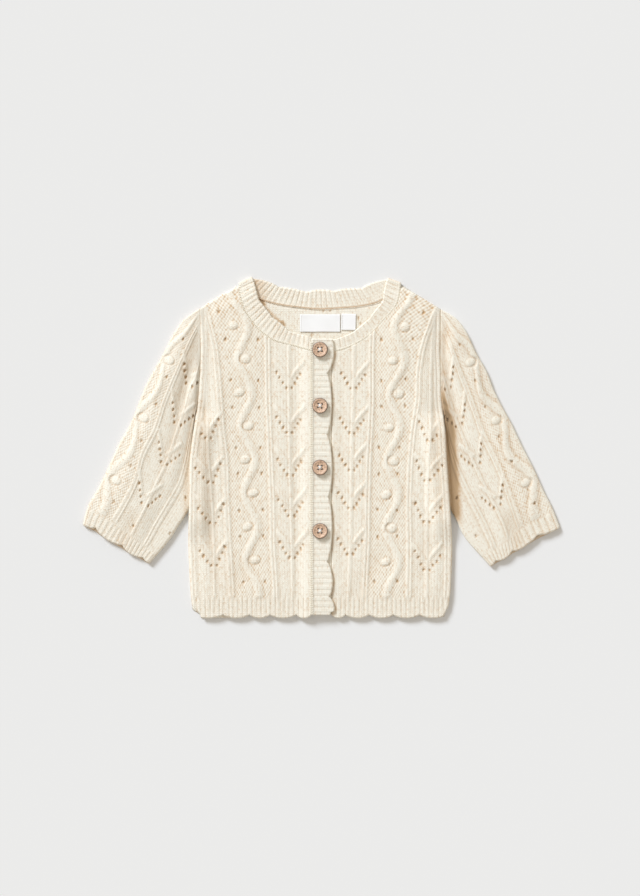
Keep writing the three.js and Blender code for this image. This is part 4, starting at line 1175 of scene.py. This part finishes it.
HOLE_PLACE = 1.6
HOLE_RADIUS = 0.9
THREAD_RADIUS = 0.27
THREAD_REACH = 0.8
button_turns = (0.1, -0.12, 0.05, -0.06)
profile = [(0, 0), (5.2, 0), (6.3, 0.3), (6.85, 0.9), (BUTTON_RADIUS, 1.5), (6.9, 2.1), (6.6, 2.45),
           (6.1, 2.6), (5.5, 2.55), (5.0, 2.3), (4.6, 2.0), (4.0, 1.85), (2.0, 1.8), (0, 1.8)]
blank = turned("button", profile, 56)
points, faces = [], []
for dx, dy in ((-1, -1), (1, -1), (-1, 1), (1, 1)):
    dx, dy = dx * HOLE_PLACE, dy * HOLE_PLACE
    ring, sides = tube([(dx, dy, 0.4), (dx, dy, 2), (dx, dy, 4)], HOLE_RADIUS, 14)
    faces += [tuple(k + len(points) for k in face) for face in sides]
    points += ring.tolist()
drill_mesh = bpy.data.meshes.new("drill")
drill_mesh.from_pydata(points, [], faces)
drill = put_in_scene("drill", drill_mesh)
bore = blank.modifiers.new("holes", "BOOLEAN")
bore.operation = "DIFFERENCE"
bore.object = drill
bored = bpy.data.meshes.new_from_object(blank.evaluated_get(bpy.context.evaluated_depsgraph_get()))
bpy.data.objects.remove(drill)
bpy.data.objects.remove(blank)
# The rim is painted dark, partly as the shell's darker edge and partly as its shade, and the insides of
# the holes are painted dark as shade
places = np.array([v.co for v in bored.vertices])
edge_and_shade_share = rise(6.1, 6.8, np.hypot(places[:, 0], places[:, 1]))
from_hole = np.hypot(np.abs(places[:, 0]) - HOLE_PLACE, np.abs(places[:, 1]) - HOLE_PLACE)
edge_and_shade_share = np.maximum(edge_and_shade_share, (from_hole < HOLE_RADIUS * 1.05) & (places[:, 2] < 1.5))
shell = coconut_shell()
threads, thread_faces = [], []
for k, (height, turn) in enumerate(zip(button_heights, button_turns)):
    low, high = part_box(f"button_{k + 1}")
    seat = np.array([0, height, low.z * 1000])
    c, s = np.cos(turn), np.sin(turn)
    about = np.array([[c, s, 0], [-s, c, 0], [0, 0, 1]])
    mesh = bored.copy()
    mesh.name = f"coconut_button_{k + 1}"
    mesh.vertices.foreach_set("co", in_metres(places @ about + seat).reshape(-1))
    mesh.attributes.new("rim", "FLOAT", "POINT").data.foreach_set("value", edge_and_shade_share.astype(np.float32))
    mesh.materials.clear()
    mesh.materials.append(shell)
    mesh.shade_smooth()
    button = put_in_scene(mesh.name, mesh)
    button.modifiers.new("edges", "EDGE_SPLIT").split_angle = 0.7
    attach(button, "root")
    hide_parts(f"button_{k + 1}")
    t = np.linspace(-1, 1, 13)
    for sx, sy in ((1, 1), (1, -1)):
        for offset in (-0.17, 0.17):
            line = np.stack([t * HOLE_PLACE * THREAD_REACH * sx + offset * sy,
                             t * HOLE_PLACE * THREAD_REACH * sy - offset * sx,
                             2.1 + 0.1 * sy - 1.2 * np.abs(t) ** 6], -1)
            ring, sides = tube(line @ about + seat, THREAD_RADIUS, 7)
            thread_faces += [tuple(n + len(threads) for n in face) for face in sides]
            threads += in_metres(ring).tolist()
thread_finish = plain_finish("white sewing thread", (0.9, 0.89, 0.86, 1), 0.8)
thread_mesh = bpy.data.meshes.new("button_thread")
thread_mesh.from_pydata(threads, [], thread_faces)
thread_mesh.materials.append(thread_finish)
thread_mesh.shade_smooth()
button_thread = put_in_scene("button_thread", thread_mesh)
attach(button_thread, "root")

# Labels
# Two blank woven satin labels, white, sewn side by side inside the back of the neck. Their edges are soft
# and a little wavy.

SATIN = (0.98, 0.975, 0.975, 1)
LABEL_HALF = 0.22
LABEL_ROUNDING = 0.5


def woven_satin():
    material, tree, shader = new_material("white woven satin")
    place = add(tree, "ShaderNodeTexCoord").outputs["Object"]
    weave = add(tree, "ShaderNodeTexWave", {"Scale": 900, "Distortion": 1.5, "Vector": place},
                bands_direction="Y")
    relief = add(tree, "ShaderNodeBump", {"Strength": 0.3, "Distance": 0.00008,
                                          "Height": weave.outputs["Fac"]})
    fill(tree, shader, {"Base Color": SATIN, "Roughness": 0.55, "Sheen Weight": 0.4,
                        "Normal": relief.outputs["Normal"]})
    return material


satin = woven_satin()


def make_label(name, node, x0, x1, y0, y1, turn):
    columns = np.linspace(0, 1, 60)[None, :]
    rows = np.linspace(1, 0, 30)[:, None]
    dx = (columns - 0.5) * (x1 - x0) + 0 * rows
    dy = (rows - 0.5) * (y1 - y0) + 0 * columns
    x = (x0 + x1) / 2 + dx * np.cos(turn) - dy * np.sin(turn)
    y = (y0 + y1) / 2 + dx * np.sin(turn) + dy * np.cos(turn)
    edge = np.minimum.reduce([dx - dx.min(), dx.max() - dx, dy - dy.min(), dy.max() - dy])
    full = rounded(edge, LABEL_ROUNDING)
    wave = 0.16 * np.sin(dx / 5.3 + 1) * rise(0, 5, dy.max() - dy) + 0.1 * np.cos(dx / 2.9 + dy / 6)
    low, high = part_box(node)
    middle = low.z * 1000 + 0.02 + LABEL_HALF
    grid = np.arange(x.size).reshape(x.shape)
    top = np.dstack([x, y, middle + (LABEL_HALF + wave) * full])
    base = np.dstack([x, y, middle - LABEL_HALF * full])
    faces = []
    for i in range(x.shape[0] - 1):
        for j in range(x.shape[1] - 1):
            a, b, c, d = grid[i, j], grid[i + 1, j], grid[i + 1, j + 1], grid[i, j + 1]
            faces.append((a, b, c, d))
            faces.append(tuple(k + x.size for k in (d, c, b, a)))
    mesh = bpy.data.meshes.new(name)
    mesh.from_pydata(in_metres(np.vstack([top.reshape(-1, 3), base.reshape(-1, 3)])).tolist(), [], faces)
    welded = bmesh.new()
    welded.from_mesh(mesh)
    bmesh.ops.remove_doubles(welded, verts=welded.verts, dist=1e-7)
    welded.to_mesh(mesh)
    welded.free()
    mesh.materials.append(satin)
    mesh.shade_smooth()
    label = put_in_scene(name, mesh)
    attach(label, "root")
    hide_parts(node)


make_label("blank_neck_label", "neck_label", -18, 18.5, 104.5, 120.5, 0)
make_label("blank_size_label", "size_label", 19.2, 32.5, 106, 121, -0.03)

# Sewing and linking
# Rows of small yarn stitches where pieces are joined: linking behind the neck, painted tan as the seam's
# shade, cream linking round the neckband and down the bands, and white stitches at the ends of the labels.


def stitch_row_tree():
    """Lays a bent strand at every pitch along a line, turned to it"""
    tree = bpy.data.node_groups.new("row of stitches", "GeometryNodeTree")
    face = tree.interface
    face.new_socket("Geometry", in_out="INPUT", socket_type="NodeSocketGeometry")
    for title in ("Pitch", "Length", "Thickness", "Lean"):
        face.new_socket(title, in_out="INPUT", socket_type="NodeSocketFloat")
    face.new_socket("Yarn", in_out="INPUT", socket_type="NodeSocketMaterial")
    face.new_socket("Geometry", in_out="OUTPUT", socket_type="NodeSocketGeometry")
    given = add(tree, "NodeGroupInput").outputs
    line = add(tree, "GeometryNodeMeshToCurve", {"Mesh": given["Geometry"]})
    spaced = add(tree, "GeometryNodeResampleCurve",
                 {"Curve": line.outputs["Curve"], "Length": given["Pitch"]}, mode="LENGTH")
    ends = [add(tree, "ShaderNodeCombineXYZ", {axis: sums(tree, "MULTIPLY", given[size], share)}).outputs[0]
            for axis, size, share in ((0, "Length", -0.5), (2, "Thickness", 1.2), (0, "Length", 0.5))]
    strand = add(tree, "GeometryNodeCurveQuadraticBezier",
                 {"Resolution": 5, "Start": ends[0], "Middle": ends[1], "End": ends[2]})
    radius = sums(tree, "MULTIPLY", given["Thickness"], 0.5)
    section = add(tree, "GeometryNodeCurvePrimitiveCircle", {"Resolution": 6, "Radius": radius})
    body = add(tree, "GeometryNodeCurveToMesh", {"Curve": strand.outputs["Curve"], "Fill Caps": True,
                                                 "Profile Curve": section.outputs["Curve"]})
    tangent = add(tree, "GeometryNodeInputTangent").outputs["Tangent"]
    facing = add(tree, "FunctionNodeAlignRotationToVector", {"Vector": tangent}, axis="X", pivot_axis="Z")
    lean = add(tree, "ShaderNodeCombineXYZ", {2: given["Lean"]})
    leaning = add(tree, "FunctionNodeRotateRotation", {0: facing.outputs[0], 1: lean.outputs[0]},
                  rotation_space="LOCAL")
    placed = add(tree, "GeometryNodeInstanceOnPoints", {"Points": spaced.outputs["Curve"],
                                                        "Instance": body.outputs["Mesh"],
                                                        "Rotation": leaning.outputs[0]})
    real = add(tree, "GeometryNodeRealizeInstances", {0: placed.outputs["Instances"]})
    coloured = add(tree, "GeometryNodeSetMaterial",
                   {"Geometry": real.outputs[0], "Material": given["Yarn"]})
    add(tree, "NodeGroupOutput", {"Geometry": coloured.outputs["Geometry"]})
    return tree


row_of_stitches = stitch_row_tree()
cream_yarn = plain_finish("cream linking yarn", (0.93, 0.87, 0.74, 1), 0.95)
# The rear linking's tan is painted shade of the seam behind the neck
seam_shade_yarn = plain_finish("tan linking yarn", (0.76, 0.57, 0.39, 1), 0.95)


def sew(name, lines, pitch, length, thickness, lean, yarn):
    """One object of stitches along lines of points in millimetres of the drawing"""
    points, edges = [], []
    for line in lines:
        edges += [(len(points) + k, len(points) + k + 1) for k in range(len(line) - 1)]
        points += in_metres(line).tolist()
    guide = bpy.data.meshes.new(name)
    guide.from_pydata(points, edges, [])
    row = put_in_scene(name, guide)
    laid = row.modifiers.new("stitches", "NODES")
    laid.node_group = row_of_stitches
    sizes = {"Pitch": pitch / 1000, "Length": length / 1000, "Thickness": thickness / 1000, "Lean": lean,
             "Yarn": yarn}
    for socket in row_of_stitches.interface.items_tree:
        if socket.in_out == "INPUT" and socket.name in sizes:
            laid[socket.identifier] = sizes[socket.name]
    mesh = bpy.data.meshes.new_from_object(row.evaluated_get(bpy.context.evaluated_depsgraph_get()))
    row.modifiers.remove(laid)
    row.data = mesh
    mesh.shade_smooth()
    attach(row, "root")


def on_front(half, points, lift):
    """Points of a line, laid on the front"""
    height = front_inside(half, points[:, 0], points[:, 1]) + WALL + lift
    return np.column_stack([points, height])


def upright(x, y, z):
    """A line of points straight down the garment"""
    return np.column_stack([np.full_like(y, x), y, np.full_like(y, z)])


run = np.linspace(0.01, 0.99, 90)
rear = along(curve_through(back_neck_seam), run)
rear_row = np.column_stack([rear, np.full(len(rear), WALL + 0.35)])
sew("rear_linking", [rear_row], 1.9, 2.0, 0.68, 0.25, seam_shade_yarn)
neck_rows = [on_front(half, along(curve_through(half["neck_seam"]), run), -0.4)
             for half in (right_half, left_half)]
sew("neck_linking", neck_rows, 1.5, 1.9, 0.8, 1.2, cream_yarn)
down = np.linspace(BAND_TOP - 4, -149, 120)
for name, offset, lean in (("band_linking_left", -0.6, 0.6), ("band_linking_right", 0.6, -0.6)):
    band_row = on_front(right_half, np.column_stack([np.full_like(down, BAND_SEAM + offset), down]), 0.15)
    sew(name, [band_row], 2.0, 2.1, 0.85, lean, cream_yarn)
label_ends = []
for node, ends in (("neck_label", (-17.2, 17.7)), ("size_label", (20, 31.7))):
    low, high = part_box(node)
    label_ends += [upright(x, np.linspace(107, 119, 12), high.z * 1000 + 0.1) for x in ends]
sew("label_stitches", label_ends, 1.8, 1.1, 0.25, 0, thread_finish)

# Floor, lights and camera
# A pale plain floor under soft studio light from the upper left, and a camera straight above the garment.

PAPER = (0.86, 0.86, 0.86, 1)
FLOOR_HALF = 3
corners = [(-FLOOR_HALF, -FLOOR_HALF, 0), (FLOOR_HALF, -FLOOR_HALF, 0), (FLOOR_HALF, FLOOR_HALF, 0),
           (-FLOOR_HALF, FLOOR_HALF, 0)]
floor_mesh = bpy.data.meshes.new("floor")
floor_mesh.from_pydata(corners, [], [(0, 1, 2, 3)])
paper, tree, shader = new_material("pale paper")
fill(tree, shader, {"Base Color": PAPER, "Roughness": 1, "Specular IOR Level": 0})
floor_mesh.materials.append(paper)
floor = put_in_scene("floor", floor_mesh)
floor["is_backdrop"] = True

scene = bpy.context.scene
scene.view_settings.view_transform = "Standard"
world = bpy.data.worlds.new("studio")
scene.world = world
world.use_nodes = True
sky = world.node_tree.nodes["Background"]
fill(world.node_tree, sky, {"Color": (1, 0.945, 0.86, 1), "Strength": 0.56})

key = bpy.data.lights.new("key light", "SUN")
key.energy = 3.1
key.color = (0.86, 0.92, 1.0)
key.angle = 0.3
key_lamp = put_in_scene("key light", key)
key_lamp.rotation_euler = Vector((1.15, -1.4, -1)).to_track_quat("-Z", "Y").to_euler()

PHOTO_HEIGHT = 0.8064
CAMERA_HEIGHT = 2.4
CLOTH_HEIGHT = 0.006
SENSOR = 36
lens = bpy.data.cameras.new("camera")
lens.sensor_fit = "VERTICAL"
lens.sensor_height = SENSOR
lens.lens = SENSOR * (CAMERA_HEIGHT - CLOTH_HEIGHT) / PHOTO_HEIGHT
camera = put_in_scene("camera", lens)
camera.location = (drawing_shift[0] / 1000, drawing_shift[1] / 1000, CAMERA_HEIGHT)
scene.camera = camera

low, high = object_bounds()
